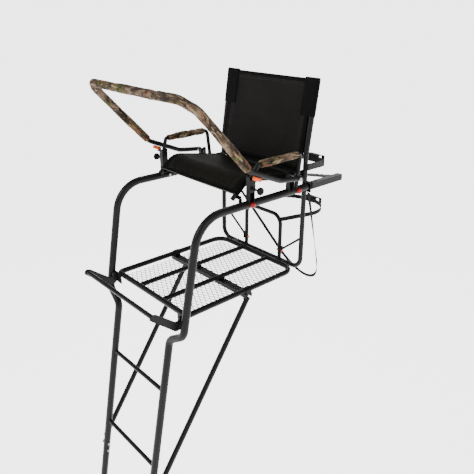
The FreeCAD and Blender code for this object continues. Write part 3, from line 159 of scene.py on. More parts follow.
def mix(tree, factor, first, second, mode="MIX"):
    """Blend of two colours; each value may be a socket, a colour or a number."""
    made = tree.nodes.new("ShaderNodeMix")
    made.data_type = "RGBA"
    made.blend_type = mode
    for socket, value in ((made.inputs[0], factor), (made.inputs[6], first), (made.inputs[7], second)):
        if isinstance(value, bpy.types.NodeSocket):
            tree.links.new(value, socket)
        elif isinstance(value, tuple):
            socket.default_value = (*value, 1)
        else:
            socket.default_value = value
    return made.outputs[2]


def bump(tree, surface, height, distance, strength=1.0, below=None):
    """Bump on the shader. `below` is an earlier bump's normal to build on."""
    made = add(tree, "Bump", Strength=strength, Distance=distance)
    tree.links.new(height, made.inputs["Height"])
    if below is not None:
        tree.links.new(below, made.inputs["Normal"])
    tree.links.new(made.outputs["Normal"], surface.inputs["Normal"])
    return made.outputs["Normal"]


def value_range(tree, source, low, high):
    """A value from 0 to 1 spread between low and high."""
    made = tree.nodes.new("ShaderNodeMapRange")
    made.inputs["To Min"].default_value = low
    made.inputs["To Max"].default_value = high
    tree.links.new(source, made.inputs["Value"])
    return made.outputs["Result"]


# ---------------------------------------------------------------- materials

def paint(name, dark, light, rough=0.36):
    """Powder coat: orange-peel bump, faint mottling, rubbed and dusty patches."""
    material, tree, surface = shader(name, rough, Specular_IOR_Level=0.11)
    where = coords(tree)
    cloud = noise_map(tree, where, 7.0, 5.0, 0.4)
    colour = ramp(tree, cloud, [(0.32, grey(dark)), (0.70, grey(light))])
    scuff = noise_map(tree, coords(tree, (1, 1, 0.25)), 60.0, 8.0, 1.2)
    rubbed = ramp(tree, scuff, [(0.66, grey(0.0)), (0.74, grey(0.35))])
    colour = mix(tree, rubbed, colour, (light * 2.0, light * 1.9, light * 1.8))
    tree.links.new(colour, surface.inputs["Base Color"])
    tree.links.new(value_range(tree, cloud, rough - 0.07, rough + 0.10), surface.inputs["Roughness"])
    peel = noise_map(tree, where, 520.0, 2.0)
    bump(tree, surface, peel, 0.00025, 0.5)
    return material


def plated(name, tint):
    """Zinc-plated steel with fine spangle."""
    material, tree, surface = shader(name, 0.34, 0.95)
    where = coords(tree)
    spangle = noise_map(tree, where, 420.0, 4.0, 0.5)
    colour = ramp(tree, spangle, [(0.3, tuple(c * 0.72 for c in tint)), (0.7, tint)])
    tree.links.new(colour, surface.inputs["Base Color"])
    tree.links.new(value_range(tree, noise_map(tree, where, 90.0), 0.24, 0.5), surface.inputs["Roughness"])
    bump(tree, surface, spangle, 0.00015, 0.4)
    return material


def moulded(name, colour, rough, grain=700.0, sheen=0.0, gloss=0.3):
    """Moulded plastic or rubber: fine texture with slight colour drift."""
    material, tree, surface = shader(name, rough, Sheen_Weight=sheen, Specular_IOR_Level=gloss)
    where = coords(tree)
    drift = noise_map(tree, where, 35.0, 4.0)
    dark = tuple(c * 0.74 for c in colour)
    tint = ramp(tree, drift, [(0.3, dark), (0.7, colour)])
    tree.links.new(tint, surface.inputs["Base Color"])
    tree.links.new(value_range(tree, drift, rough - 0.06, rough + 0.10), surface.inputs["Roughness"])
    bump(tree, surface, noise_map(tree, where, grain, 2.0), 0.0002, 0.5)
    return material


def weave(tree, pitch, turn=(0, 0, 0)):
    """Height of a plain weave: two crossed sets of rounded threads."""
    where = coords(tree, turn=turn)
    bands = []
    for direction in ("X", "Y"):
        threads = tree.nodes.new("ShaderNodeTexWave")
        threads.bands_direction = direction
        threads.inputs["Scale"].default_value = 1.0 / pitch
        threads.inputs["Distortion"].default_value = 0.3
        tree.links.new(where, threads.inputs["Vector"])
        bands.append(threads.outputs["Color"])
    return mix(tree, 1.0, bands[0], bands[1], "MULTIPLY")


def woven(name, dark, light, pitch, turn=(0, 0, 0), rough=0.68, sheen=0.004, see_through=0.0):
    """Coated polyester mesh: threads show lighter than the gaps between them; the gaps' dark colour is
    painted shade.
    """
    material, tree, surface = shader(name, rough, Sheen_Weight=sheen, Sheen_Roughness=0.4,
                                     Specular_IOR_Level=0.06, Alpha=1.0 - see_through)
    threads = weave(tree, pitch, turn)
    # Painted shade: the low parts of the weave's height get the dark colour, as shade between the threads.
    colour = ramp(tree, threads, [(0.15, dark), (0.75, light)])
    cloud = noise_map(tree, coords(tree), 5.0, 4.0, 0.6)
    shade = ramp(tree, cloud, [(0.3, grey(0.72)), (0.7, grey(1.12))])
    colour = mix(tree, 1.0, colour, shade, "MULTIPLY")
    tree.links.new(colour, surface.inputs["Base Color"])
    bump(tree, surface, threads, 0.0004, 0.6)
    return material


def rolled_coords(tree, scale=(1, 1, 1), shift=(0, 0, 0)):
    """Coordinates that follow a sleeve: along it first, then across it."""
    source = tree.nodes.new("ShaderNodeAttribute")
    source.attribute_name = "roll"
    mapping = tree.nodes.new("ShaderNodeMapping")
    mapping.inputs["Scale"].default_value = scale
    mapping.inputs["Location"].default_value = shift
    tree.links.new(source.outputs["Vector"], mapping.inputs["Vector"])
    return mapping.outputs["Vector"]


def camouflage(name):
    """Printed bark pattern on brushed foam: bark, rust, moss, leaves, limbs and cracks."""
    material, tree, surface = shader(name, 0.90, Sheen_Weight=0.02, Sheen_Roughness=0.5,
                                     Specular_IOR_Level=0.10)
    ground = noise_map(tree, rolled_coords(tree, (0.55, 1.3, 1.3)), 16.0, 5.0, 0.9)
    colour = ramp(tree, ground, [
        (0.38, (0.010, 0.007, 0.005)), (0.46, (0.034, 0.021, 0.013)),
        (0.53, (0.070, 0.045, 0.028)), (0.60, (0.135, 0.095, 0.063)), (0.68, (0.040, 0.026, 0.017)),
    ])
    rust = noise_map(tree, rolled_coords(tree, (0.7, 1, 1), (3.0, 0, 0)), 13.0, 3.0, 1.2)
    rusty = ramp(tree, rust, [(0.57, grey(0.0)), (0.62, grey(0.75))])
    colour = mix(tree, rusty, colour, (0.110, 0.036, 0.013))
    moss = noise_map(tree, rolled_coords(tree, (0.6, 1, 1), (7.0, 0, 0)), 14.0, 4.0, 1.4)
    green = ramp(tree, moss, [(0.56, grey(0.0)), (0.61, grey(0.80))])
    colour = mix(tree, green, colour, (0.060, 0.060, 0.017))
    leaf = noise_map(tree, rolled_coords(tree, (0.45, 1.6, 1.6), (11.0, 0, 0)), 22.0, 2.0, 2.0)
    leaf_mask = ramp(tree, leaf, [(0.605, grey(0.0)), (0.63, grey(0.85))])
    colour = mix(tree, leaf_mask, colour, (0.190, 0.135, 0.085))
    limbs = noise_map(tree, rolled_coords(tree, (0.40, 1.2, 1.2), (17.0, 0, 0)), 13.0, 3.0, 1.0)
    limb_mask = ramp(tree, limbs, [(0.440, grey(0.0)), (0.480, grey(0.95)), (0.520, grey(0.0))])
    colour = mix(tree, limb_mask, colour, (0.012, 0.009, 0.007))
    twigs = noise_map(tree, rolled_coords(tree, (1.1, 0.9, 0.9), (23.0, 0, 0)), 15.0, 3.0, 2.2)
    twig_mask = ramp(tree, twigs, [(0.472, grey(0.0)), (0.490, grey(0.90)), (0.508, grey(0.0))])
    colour = mix(tree, twig_mask, colour, (0.014, 0.010, 0.008))
    where = coords(tree)
    fleck = ramp(tree, noise_map(tree, where, 190.0, 3.0), [(0.35, grey(0.70)), (0.65, grey(1.18))])
    colour = mix(tree, 1.0, colour, fleck, "MULTIPLY")
    tree.links.new(colour, surface.inputs["Base Color"])
    nap = noise_map(tree, where, 900.0, 2.0)
    first = bump(tree, surface, noise_map(tree, where, 55.0, 4.0), 0.0016, 0.5)
    bump(tree, surface, nap, 0.0003, 0.5, first)
    return material


def belt(name, dark, light):
    """Polyester webbing: fine crossed ribs, with painted shade in the grooves between them."""
    material, tree, surface = shader(name, 0.70, Specular_IOR_Level=0.06)
    ribs = weave(tree, 0.0022, (0.4, 0.6, 0.78))
    # Painted shade: the ribs' grooves get the dark colour and the rib tops the light one.
    tree.links.new(ramp(tree, ribs, [(0.2, dark), (0.8, light)]), surface.inputs["Base Color"])
    bump(tree, surface, ribs, 0.0004, 0.8)
    return material


MATERIALS = {
    "tube_paint": paint("tube_powder_coat", 0.0035, 0.0060),
    "plate_paint": paint("plate_powder_coat", 0.0026, 0.0042, 0.44),
    "deck_paint": paint("deck_powder_coat", 0.0026, 0.0042, 0.45),
    "zinc": plated("zinc_plate", (0.30, 0.30, 0.29)),
    "orange_hardware": moulded("orange_coating", (0.45, 0.055, 0.015), 0.45, gloss=0.2),
    "red_cap": moulded("red_plastic", (0.22, 0.008, 0.008), 0.34, gloss=0.2),
    "orange_rubber": moulded("orange_rubber", (0.72, 0.085, 0.010), 0.55, 500.0, 0.05, gloss=0.15),
    "black_plastic": moulded("black_plastic", (0.0030, 0.0030, 0.0032), 0.70, gloss=0.08),
    "camo_foam": camouflage("camouflage_foam"),
    # Painted shade: each cloth's first colour is the shade painted into the gaps between its threads; the
    # second is the threads' own colour.
    "seat_fabric": woven("seat_mesh", (0.0020, 0.0018, 0.0012), (0.0098, 0.0088, 0.0052), 0.0028,
                         see_through=0.012),
    "back_fabric": woven("back_mesh", (0.0030, 0.0026, 0.0024), (0.0105, 0.0088, 0.0080), 0.0028,
                         (math.pi / 2, 0, 0)),
    # Painted shade: the webbing's first colour is the shade painted into its grooves.
    "webbing": belt("webbing_belt", (0.0022, 0.0022, 0.0022), (0.0068, 0.0068, 0.0070)),
}
# Painted shade: the hem cloth's first colour is the shade painted between its threads.
HEM = woven("hem_cloth", (0.0008, 0.0008, 0.0007), (0.0026, 0.0024, 0.0023), 0.0016, rough=0.80)
THREAD = moulded("stitching_thread", (0.020, 0.019, 0.018), 0.6)
TRIM = moulded("hem_piping", (0.045, 0.041, 0.028), 0.6)
WELD = paint("weld_powder_coat", 0.006, 0.009, 0.32)

for entry in frame["record"]["subparts"]:
    painted = nodes[entry["node"]]
    for socket in painted.material_slots:
        socket.material = MATERIALS[entry["material_slot"]]


# ---------------------------------------------------------------- mesh helpers

def piece(name, verts, faces, material, body, smooth=True):
    """A mesh object that rides on a body and takes its finish from a slot."""
    mesh = bpy.data.meshes.new(name)
    mesh.from_pydata([tuple(v) for v in verts], [], faces)
    mesh.validate()
    mesh.update()
    mesh.materials.append(material)
    for face in mesh.polygons:
        face.use_smooth = smooth
    made = bpy.data.objects.new(name, mesh)
    bpy.context.scene.collection.objects.link(made)
    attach(made, body)
    return made


def rounded_path(points, radii, step=0.012):
    """Centre line through the points with tangent arcs, sampled about every step."""
    samples = [points[0]]
    for corner, after, bend in zip(points[1:-1], points[2:], radii):
        back = (samples[-1] - corner).normalized()
        ahead = (after - corner).normalized()
        turn = math.pi - back.angle(ahead)
        reach = bend * math.tan(turn / 2)
        first = corner + back * reach
        last = corner + ahead * reach
        middle = (back + ahead).normalized() * (bend / math.cos(turn / 2)) + corner
        run_in(samples, first, step)
        count = max(3, int(turn * bend / step) + 1)
        for index in range(1, count + 1):
            share = index / count
            arm = (first - middle).normalized().slerp((last - middle).normalized(), share)
            samples.append(middle + arm * bend)
    run_in(samples, points[-1], step)
    return samples


def run_in(samples, end, step):
    """Adds evenly spaced points up to the end of a straight run."""
    start = samples[-1]
    count = max(1, round((end - start).length / step))
    for index in range(1, count + 1):
        samples.append(start.lerp(end, index / count))


def frames_along(path, up=Vector((1, 0, 0))):
    """Tangent, side and up at each point, carried along without twist."""
    tangents = []
    for index in range(len(path)):
        before = path[max(index - 1, 0)]
        after = path[min(index + 1, len(path) - 1)]
        tangents.append((after - before).normalized())
    side = up - tangents[0] * up.dot(tangents[0])
    side.normalize()
    result = []
    for tangent in tangents:
        side = (side - tangent * side.dot(tangent)).normalized()
        result.append((tangent, side, tangent.cross(side)))
    return result


def join_rings(faces, low, segments, high=None):
    """Quads from the ring of points that starts at low to the next one, or the one at high."""
    if high is None:
        high = low + segments
    for step in range(segments):
        follow = (step + 1) % segments
        faces.append((low + step, low + follow, high + follow, high + step))


def ring_points(centre, side, up, segments, radius_at):
    """Points of one ring. radius_at gives the radius at an angle."""
    points = []
    for step in range(segments):
        angle = 2 * math.pi * step / segments
        direction = side * math.cos(angle) + up * math.sin(angle)
        points.append(centre + direction * radius_at(angle))
    return points


def ring_mesh(centres, axes, radius_at, segments):
    """Points and quads of rings. radius_at gives a radius from ring number, angle and centre."""
    verts = []
    faces = []
    for index, (centre, (_, side, up)) in enumerate(zip(centres, axes)):
        verts.extend(ring_points(centre, side, up, segments,
                                 lambda angle: radius_at(index, angle, centre)))
        if index:
            join_rings(faces, (index - 1) * segments, segments)
    return verts, faces


def grid_faces(rows, columns):
    """Quads of a sheet of points stored row by row."""
    width = columns + 1
    faces = []
    for row in range(rows):
        for column in range(columns):
            base = row * width + column
            faces.append((base, base + 1, base + width + 1, base + width))
    return faces


# ---------------------------------------------------------------- foam

SLEEVE_SEGMENTS = 28
SLEEVE_STEP = 0.006
END_RINGS = 4
SETTLE_FRAMES = 20
SETTLE_LIMIT = 0.006
DENT_DEPTH = 0.0016
CREASE_DEPTH = 0.0014
GRIP_GAP = 0.0003
RAIL_FOAM_R = 0.0196
RAIL_FOAM_START = 0.016
ARM_FOAM_R = 0.0172
ARM_FOAM_FRONT = 0.014
ARM_FOAM_REAR = 0.026


def sleeve(name, path, outer, inner, body):
    """A soft hollow foam sleeve with rolled ends, small dents and creases across its run."""
    # The rolled end, as (distance from the end, radius).
    ends = [(0.0, inner), (0.0, outer - 0.004), (0.0012, outer - 0.0012), (0.004, outer)]
    tangent_in = (path[1] - path[0]).normalized()
    tangent_out = (path[-1] - path[-2]).normalized()
    rings = [(path[0] + tangent_in * offset, radius) for offset, radius in ends]
    rings += [(point, outer) for point in path[1:-1]]
    rings += [(path[-1] - tangent_out * offset, radius) for offset, radius in reversed(ends)]
    rings += [(point, inner) for point in reversed(path[1:-1])]

    def radius_at(index, angle, centre):
        radius = rings[index][1]
        if radius < outer - 0.002:
            return radius
        place = centre * 22 + Vector((math.cos(angle), math.sin(angle), 0)) * 0.7
        dent = noise.noise(place) * DENT_DEPTH
        across = centre * 75 + Vector((math.cos(angle) * 0.4, 3.1, 0))
        crease = -abs(noise.noise(across)) * CREASE_DEPTH
        return radius + dent + crease

    along = frames_along(path)
    axes = [along[path_number(ring, len(path))] for ring in range(len(rings))]
    verts, faces = ring_mesh([centre for centre, _ in rings], axes, radius_at, SLEEVE_SEGMENTS)
    join_rings(faces, (len(rings) - 1) * SLEEVE_SEGMENTS, SLEEVE_SEGMENTS, 0)
    made = piece(name, verts, faces, MATERIALS["camo_foam"], body)
    roll_map(made, path, outer)
    settle(made, gripped(len(path)))
    return made


def path_number(ring, path_count):
    """Number of the path point that a sleeve's ring belongs to, out along the skin and back inside."""
    turn = path_count + 2 * (END_RINGS - 1)
    along = ring - (END_RINGS - 1) if ring < turn else turn + path_count - 2 - ring
    return min(max(along, 0), path_count - 1)


def roll_map(made, path, outer):
    """Store on each point how far along the sleeve it is and where round it."""
    travelled = [0.0]
    for before, after in zip(path, path[1:]):
        travelled.append(travelled[-1] + (after - before).length)
    roll = made.data.attributes.new("roll", "FLOAT_VECTOR", "POINT")
    for index, entry in enumerate(roll.data):
        ring, step = divmod(index, SLEEVE_SEGMENTS)
        angle = 2 * math.pi * step / SLEEVE_SEGMENTS
        entry.vector = (travelled[path_number(ring, len(path))],
                        outer * math.cos(angle), outer * math.sin(angle))


def settle(foam, held):
    """Let a foam skin fill out under a little air pressure, held where it grips the tube."""
    grip = foam.vertex_groups.new(name="held")
    grip.add(held, 1.0, "REPLACE")
    cloth = foam.modifiers.new("skin", "CLOTH")
    cloth.settings.quality = 6
    cloth.settings.mass = 0.15
    cloth.settings.tension_stiffness = 12
    cloth.settings.compression_stiffness = 12
    cloth.settings.bending_stiffness = 0.4
    cloth.settings.use_pressure = True
    cloth.settings.uniform_pressure_force = 4.0
    cloth.settings.shrink_min = -0.055
    cloth.settings.vertex_group_mass = "held"
    cloth.settings.effector_weights.gravity = 0.0
    cloth.collision_settings.use_collision = False
    for moment in range(1, SETTLE_FRAMES + 1):
        bpy.context.scene.frame_set(moment)
    settled = foam.evaluated_get(bpy.context.evaluated_depsgraph_get()).to_mesh()
    moved = [vertex.co.copy() for vertex in settled.vertices]
    foam.modifiers.remove(cloth)
    for vertex, place in zip(foam.data.vertices, moved):
        shift = place - vertex.co
        if shift.length > SETTLE_LIMIT:
            shift = shift * (SETTLE_LIMIT / shift.length)
        vertex.co = vertex.co + shift
    foam.data.update()
    smooth = foam.modifiers.new("smooth", "SUBSURF")
    smooth.levels = 1
    smooth.render_levels = 1
    bpy.context.scene.frame_set(1)


def gripped(path_count):
    """Point numbers of a sleeve's ends and of the side that lies on the tube."""
    turn = path_count + 2 * (END_RINGS - 1)
    rings = [0, 1, 2, turn - 3, turn - 2, turn - 1]
    rings.extend(range(turn, turn + path_count - 2))
    return [ring * SLEEVE_SEGMENTS + step for ring in rings for step in range(SLEEVE_SEGMENTS)]


def shooting_rail_half():
    """Left half of the rail's centre line, from the CAD model."""
    rear = PLATFORM_REAR
    return [
        Vector((SHOOT_X, rear - 0.227, 0.100)), Vector((SHOOT_X, rear - 0.424, 0.181)),
        Vector((SHOOT_X, rear - 0.705, 0.475)), Vector((SHOOT_X - 0.062, rear - 0.747, 0.512)),
        Vector((0, rear - 0.747, 0.512)),
    ]


def mirrored(points):
    """The points and their mirror images, back along the other side."""
    other = [Vector((-point.x, point.y, point.z)) for point in reversed(points[:-1])]
    return points[:-1] + other


def rail_foam():
    """Foam over the shooting rail's arms and front bar."""
    half = shooting_rail_half()
    along = (half[2] - half[1]).normalized()
    run = [half[1] + along * RAIL_FOAM_START] + half[2:]
    path = rounded_path(mirrored(run), [SHOOT_BEND] * 4, SLEEVE_STEP)
    foam = sleeve("rail_foam_sleeve", path, RAIL_FOAM_R, FRAME_R + GRIP_GAP, "shooting_rail_body")
    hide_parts("rail_foam")


def armrest_foam():
    """Foam over each armrest's level run."""
    for name, side in (("left", 1), ("right", -1)):
        front = Vector((side * ARM_X, PLATFORM_REAR - 0.340, 0.190))
        rear = Vector((side * ARM_X, PLATFORM_REAR - 0.054, 0.194))
        along = (rear - front).normalized()
        ends = [front + along * ARM_FOAM_FRONT, rear - along * ARM_FOAM_REAR]
        path = rounded_path(ends, [], SLEEVE_STEP)
        foam = sleeve("armrest_foam_" + name, path, ARM_FOAM_R, ARM_R + GRIP_GAP, "stand")
        if side > 0:
            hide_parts("armrest_pads")


# ---------------------------------------------------------------- deck

MESH_LONG = 0.050
MESH_SHORT = 0.027
STRAND_WIDTH = 0.0028
STRAND_THICK = 0.0016
STRAND_TILT = 0.0003
DECK_INSET = 0.008
DECK_REAR_CORNER = 0.062
DECK_FRONT_CORNER = 0.018


def inside_deck(x, y):
    """True inside the deck's outline, given from its rear edge, with rounded corners."""
    half = PLATFORM_HALF - DECK_INSET
    low = -PLATFORM_DEPTH + DECK_INSET
    high = -DECK_INSET
    if not (-half <= x <= half and low <= y <= high):
        return False
    past_rear = y - (high - DECK_REAR_CORNER)
    past_front = (low + DECK_FRONT_CORNER) - y
    for dy, radius in ((past_rear, DECK_REAR_CORNER), (past_front, DECK_FRONT_CORNER)):
        dx = abs(x) - (half - radius)
        if dx > 0 and dy > 0 and math.hypot(dx, dy) > radius:
            return False
    return True


def strand(verts, faces, start, end):
    """One strand of expanded metal: a flat bar that twists from its low end to its high end."""
    along = (end - start).normalized()
    side = Vector((-along.y, along.x, 0)) * (STRAND_WIDTH / 2)
    up = Vector((0, 0, STRAND_THICK / 2))
    tilt = Vector((0, 0, STRAND_TILT))
    base = len(verts)
    for point, sign in ((start, -1), (end, 1)):
        verts.extend([
            point - side - up + tilt * sign, point + side - up - tilt * sign * 0.2,
            point + side + up - tilt * sign * 0.2, point - side + up + tilt * sign,
        ])
    join_rings(faces, base, 4)
    faces.append((base + 3, base + 2, base + 1, base))
    faces.append((base + 4, base + 5, base + 6, base + 7))


def deck_mesh():
    """Expanded metal: zigzag strands inside the platform's frame."""
    verts = []
    faces = []
    level = PLATFORM_Z - PLATFORM_R - 0.0014
    rows = int(PLATFORM_DEPTH / MESH_SHORT) + 2
    columns = int(2 * PLATFORM_HALF / MESH_LONG) + 2
    for row in range(2 * rows):
        for column in range(-columns, columns):
            shift = (row % 2) * 0.5
            x = (column + shift) * MESH_LONG
            y = -row * MESH_SHORT / 2
            for direction in (-1, 1):
                far_x = x + direction * MESH_LONG / 2
                far_y = y - MESH_SHORT / 2
                if not (inside_deck(x, y) and inside_deck(far_x, far_y)):
                    continue
                strand(verts, faces, Vector((x, PLATFORM_REAR + y, level)),
                       Vector((far_x, PLATFORM_REAR + far_y, level)))
    deck = piece("expanded_deck", verts, faces, MATERIALS["deck_paint"], "stand", False)
    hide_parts("platform_mesh")


# ---------------------------------------------------------------- slings

CLOTH_THICKNESS = 0.0018
SEAT_REAR_GAP = 0.004
SEAT_FRONT_GAP = 0.026
SEAT_SAG = 0.009
SEAT_END_DIP = 0.0028
SEAT_HEM = 6
HINGE_TAB_FRONT = -0.325


def seat_corners():
    """Rear end, crest and front end of the seat tubes' centre line, from the CAD model."""
    rear = PLATFORM_REAR
    return [Vector((0, rear, 0.049)), Vector((0, rear - 0.340, 0.107)), Vector((0, rear - 0.433, 0.030))]


def seat_profile():
    """Side view of the cloth's run: (centre, upward normal) rows, rear to front."""
    rear, crest, front = seat_corners()
    start = rear + (crest - rear).normalized() * SEAT_REAR_GAP
    end = front + (crest - front).normalized() * SEAT_FRONT_GAP
    path = rounded_path([start, crest, end], [SEAT_BEND], 0.0075)
    rows = []
    for index, centre in enumerate(path):
        before = path[max(index - 1, 0)]
        after = path[min(index + 1, len(path) - 1)]
        along = (after - before).normalized()
        rows.append((centre, Vector((0, along.z, -along.y))))
    return rows


def seat_section(low_angle, columns=44):
    """Across the seat: (x, lift above the tube centre line's plane, sag share)."""
    over = LIGHT_R + 0.0006
    section = []
    for step in range(5):
        angle = math.radians(low_angle + (90 - low_angle) * step / 4)
        section.append((SEAT_TUBE_X + over * math.cos(angle), over * math.sin(angle), 0.0))
    flat = []
    for step in range(1, columns):
        share = step / columns
        x = SEAT_TUBE_X * (1 - 2 * share)
        flat.append((x, over, math.sin(math.pi * share)))
    mirrored_section = [(-x, lift, sag) for x, lift, sag in reversed(section)]
    return section + flat + mirrored_section


def seat_sling():
    """The seat's cloth, stretched over the side tubes and sagging a little between them."""
    rows = seat_profile()
    section = seat_section(-32)
    beside_hinge = seat_section(55)
    total = len(rows) - 1
    verts = []
    for index, (centre, normal) in enumerate(rows):
        share = index / total
        hang = max(0.0, math.sin(math.pi * min(1, max(0, (share - 0.03) / 0.92)))) ** 0.8
        for x, lift, sag in beside_hinge if centre.y > HINGE_TAB_FRONT else section:
            ripple = noise.noise(Vector((x * 9, share * 5, 0.3))) * 0.0012 * sag
            drop = SEAT_SAG * sag * hang + ripple
            drop += SEAT_END_DIP * sag ** 0.4 * (1 - hang) if sag > 0 else 0
            verts.append(Vector((x, 0, 0)) + centre + normal * (lift - drop))
    width = len(section)
    faces = grid_faces(total, width - 1)
    sling = piece("seat_sling_cloth", verts, faces, MATERIALS["seat_fabric"], "seat_body")
    sling.data.materials.append(HEM)
    for polygon in sling.data.polygons:
        row, column = divmod(polygon.index, width - 1)
        beside = column < SEAT_HEM or column >= width - 1 - SEAT_HEM
        if beside or row < 2 or row >= total - 3:
            polygon.material_index = 1
    thicken(sling)
    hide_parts("seat_sling")
    edges = seat_edges(rows)

    def seam_point(row, column):
        normal = rows[row][1]
        return verts[row * width + column] + normal * STITCH_LIFT, normal

    seams = []
    for column in (SEAT_HEM + 1, SEAT_HEM + 2, width - SEAT_HEM - 3, width - SEAT_HEM - 2):
        seams.append([seam_point(row, column) for row in range(2, total - 1)])
    for row in (2, total - 3, total - 2):
        seams.append([seam_point(row, column) for column in range(SEAT_HEM + 1, width - SEAT_HEM - 1)])
    edges.append(stitches("seat_stitches", seams, "seat_body"))


def thicken(cloth):
    """Give a sheet its thickness, outwards from its points."""
    solid = cloth.modifiers.new("thickness", "SOLIDIFY")
    solid.thickness = CLOTH_THICKNESS
    solid.offset = 1.0


def cord_mesh(name, path, radius, material, body, segments=8):
    """A thin closed round piece such as piping or a rolled hem."""
    verts, faces = ring_mesh(path, frames_along(path), lambda index, angle, centre: radius, segments)
    last = len(verts) - segments
    faces.append(tuple(reversed(range(segments))))
    faces.append(tuple(range(last, last + segments)))
    return piece(name, verts, faces, material, body)


def seat_edges(rows):
    """The rolled hem across the front and its light piping."""
    over = LIGHT_R + 0.0012
    centre, normal = rows[-1]
    before = rows[-2][0]
    ahead = (centre - before).normalized()
    half = 0.2995
    steps = 30
    made = []
    for name, radius, lift, push, material in (
        ("seat_front_hem", 0.0042, over - 0.0020, 0.002, HEM),
        ("seat_front_piping", 0.0017, over + 0.0035, 0.0045, TRIM),
    ):
        path = []
        for step in range(steps + 1):
            x = -half + 2 * half * step / steps
            sag = 0.0030 * math.sin(math.pi * step / steps)
            path.append(centre + Vector((x, 0, 0)) + normal * (lift - sag) + ahead * push)
        made.append(cord_mesh(name, path, radius, material, "seat_body"))
    return made


# ---------------------------------------------------------------- backrest

BACK_TILT = math.radians(10.4)
BACK_ORIGIN = Vector((0, FRAME_Y - 0.025, 0.085))
BACK_HALF = 0.300
BACK_HEIGHT = 0.448
BACK_SAG = 0.012
BACK_EDGE = 0.3015
POCKET_LOW = 0.270
POCKET_TOP = BACK_HEIGHT + 0.006
POCKET_IN = 0.240


def back_point(x, away, up):
    """A point of the backrest's own frame: across, towards the tree and up the panel."""
    lean = Vector((0, math.sin(BACK_TILT), math.cos(BACK_TILT)))
    out = Vector((0, math.cos(BACK_TILT), -math.sin(BACK_TILT)))
    return BACK_ORIGIN + Vector((x, 0, 0)) + out * away + lean * up


def upright_away(up):
    """How far behind the panel's plane the upright's centre line lies."""
    height = BACK_ORIGIN.z + up * math.cos(BACK_TILT)
    tube_y = FRAME_Y + UPRIGHT_LEAN * max(0.0, height - UPRIGHT_BEND_Z)
    plane_y = BACK_ORIGIN.y + up * math.sin(BACK_TILT)
    return (tube_y - plane_y) / math.cos(BACK_TILT)


def back_sling():
    """The backrest's cloth: a sagging panel with pockets, a lower loop and stitched hems."""
    columns = 48
    rows = 40
    verts = []
    for row in range(rows + 1):
        up = BACK_HEIGHT * row / rows
        for column in range(columns + 1):
            x = BACK_HALF * (2 * column / columns - 1)
            across = max(0.0, 1 - (x / (BACK_HALF - 0.02)) ** 2)
            hang = math.sin(math.pi * min(1, 0.12 + 0.80 * row / rows)) ** 0.7
            ripple = noise.noise(Vector((x * 8, up * 5, 1.7))) * 0.0014 * across
            away = -0.002 + BACK_SAG * across * hang + ripple
            # Above the lower bar the outer edges wrap back to the uprights.
            if column in (0, columns):
                x = math.copysign(BACK_EDGE, x)
                away += 0.9 * upright_away(up) * smooth_step(min(1, max(0, (up - 0.05) / 0.05)))
            verts.append(back_point(x, away, up))
    faces = grid_faces(rows, columns)
    panel = piece("back_sling_cloth", verts, faces, MATERIALS["back_fabric"], "stand")
    panel.data.materials.append(HEM)
    for polygon in panel.data.polygons:
        row, column = divmod(polygon.index, columns)
        if row < 2 or row >= rows - 2 or column < 2 or column >= columns - 2:
            polygon.material_index = 1
    thicken(panel)
    extras = [back_pocket(name, side) for name, side in (("left", 1), ("right", -1))]
    extras.append(back_loop())
    out = back_point(0, -1, 0) - back_point(0, 0, 0)
    width = columns + 1

    def seam_point(row, column):
        return verts[row * width + column] + out * STITCH_LIFT, out

    seams = []
    for row in (1, 2, rows - 3, rows - 2):
        seams.append([seam_point(row, column) for column in range(2, width - 2)])
    for column in (3, 4, width - 5, width - 4):
        seams.append([seam_point(row, column) for row in range(2, rows - 1)])
    extras.append(stitches("back_stitches", seams, "stand"))
    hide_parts("back_sling")


def pocket_outline(share, away, radius):
    """A pocket's section: round the upright's outer half, then flat to its inner seam and back."""
    if share < 0.5:
        angle = math.radians(-100 + 400 * share)
        return FRAME_X + radius * math.cos(angle), away + radius * math.sin(angle)
    run = 2 * share - 1
    seam = Vector((POCKET_IN, -0.0035))
    if run < 0.5:
        leave = Vector((FRAME_X, away + radius))
        x, y = leave.lerp(seam + Vector((0, 0.006)), smooth_step(2 * run))
    else:
        back = Vector((FRAME_X, away - radius))
        x, y = (seam - Vector((0, 0.0015))).lerp(back, smooth_step(2 * run - 1))
    from_tube = Vector((x - FRAME_X, y - away))
    if from_tube.length < FRAME_R + 0.0016:
        x, y = Vector((FRAME_X, away)) + from_tube.normalized() * (FRAME_R + 0.0016)
    return x, y


def back_pocket(name, side):
    """The sewn sleeve that slips over an upright's top."""
    levels = 22
    ring = 30
    verts = []
    faces = []
    for level in range(levels + 1):
        up = POCKET_LOW + (POCKET_TOP - POCKET_LOW) * level / levels
        radius = FRAME_R + 0.0028 + 0.0008 * noise.noise(Vector((up * 40, side, 0)))
        if level == levels:
            radius *= 0.82
        for step in range(ring):
            x, y = pocket_outline(step / ring, upright_away(up), radius)
            crinkle = 0.0007 * noise.noise(Vector((x * 60, up * 30, side * 2.0)))
            verts.append(back_point(side * x, y + crinkle, up))
    for level in range(levels):
        join_rings(faces, level * ring, ring)
    faces.append(tuple(range(levels * ring, (levels + 1) * ring)))
    return piece("back_pocket_" + name, verts, faces, HEM, "stand")


def smooth_step(share):
    """Ease from 0 to 1."""
    return share * share * (3 - 2 * share)


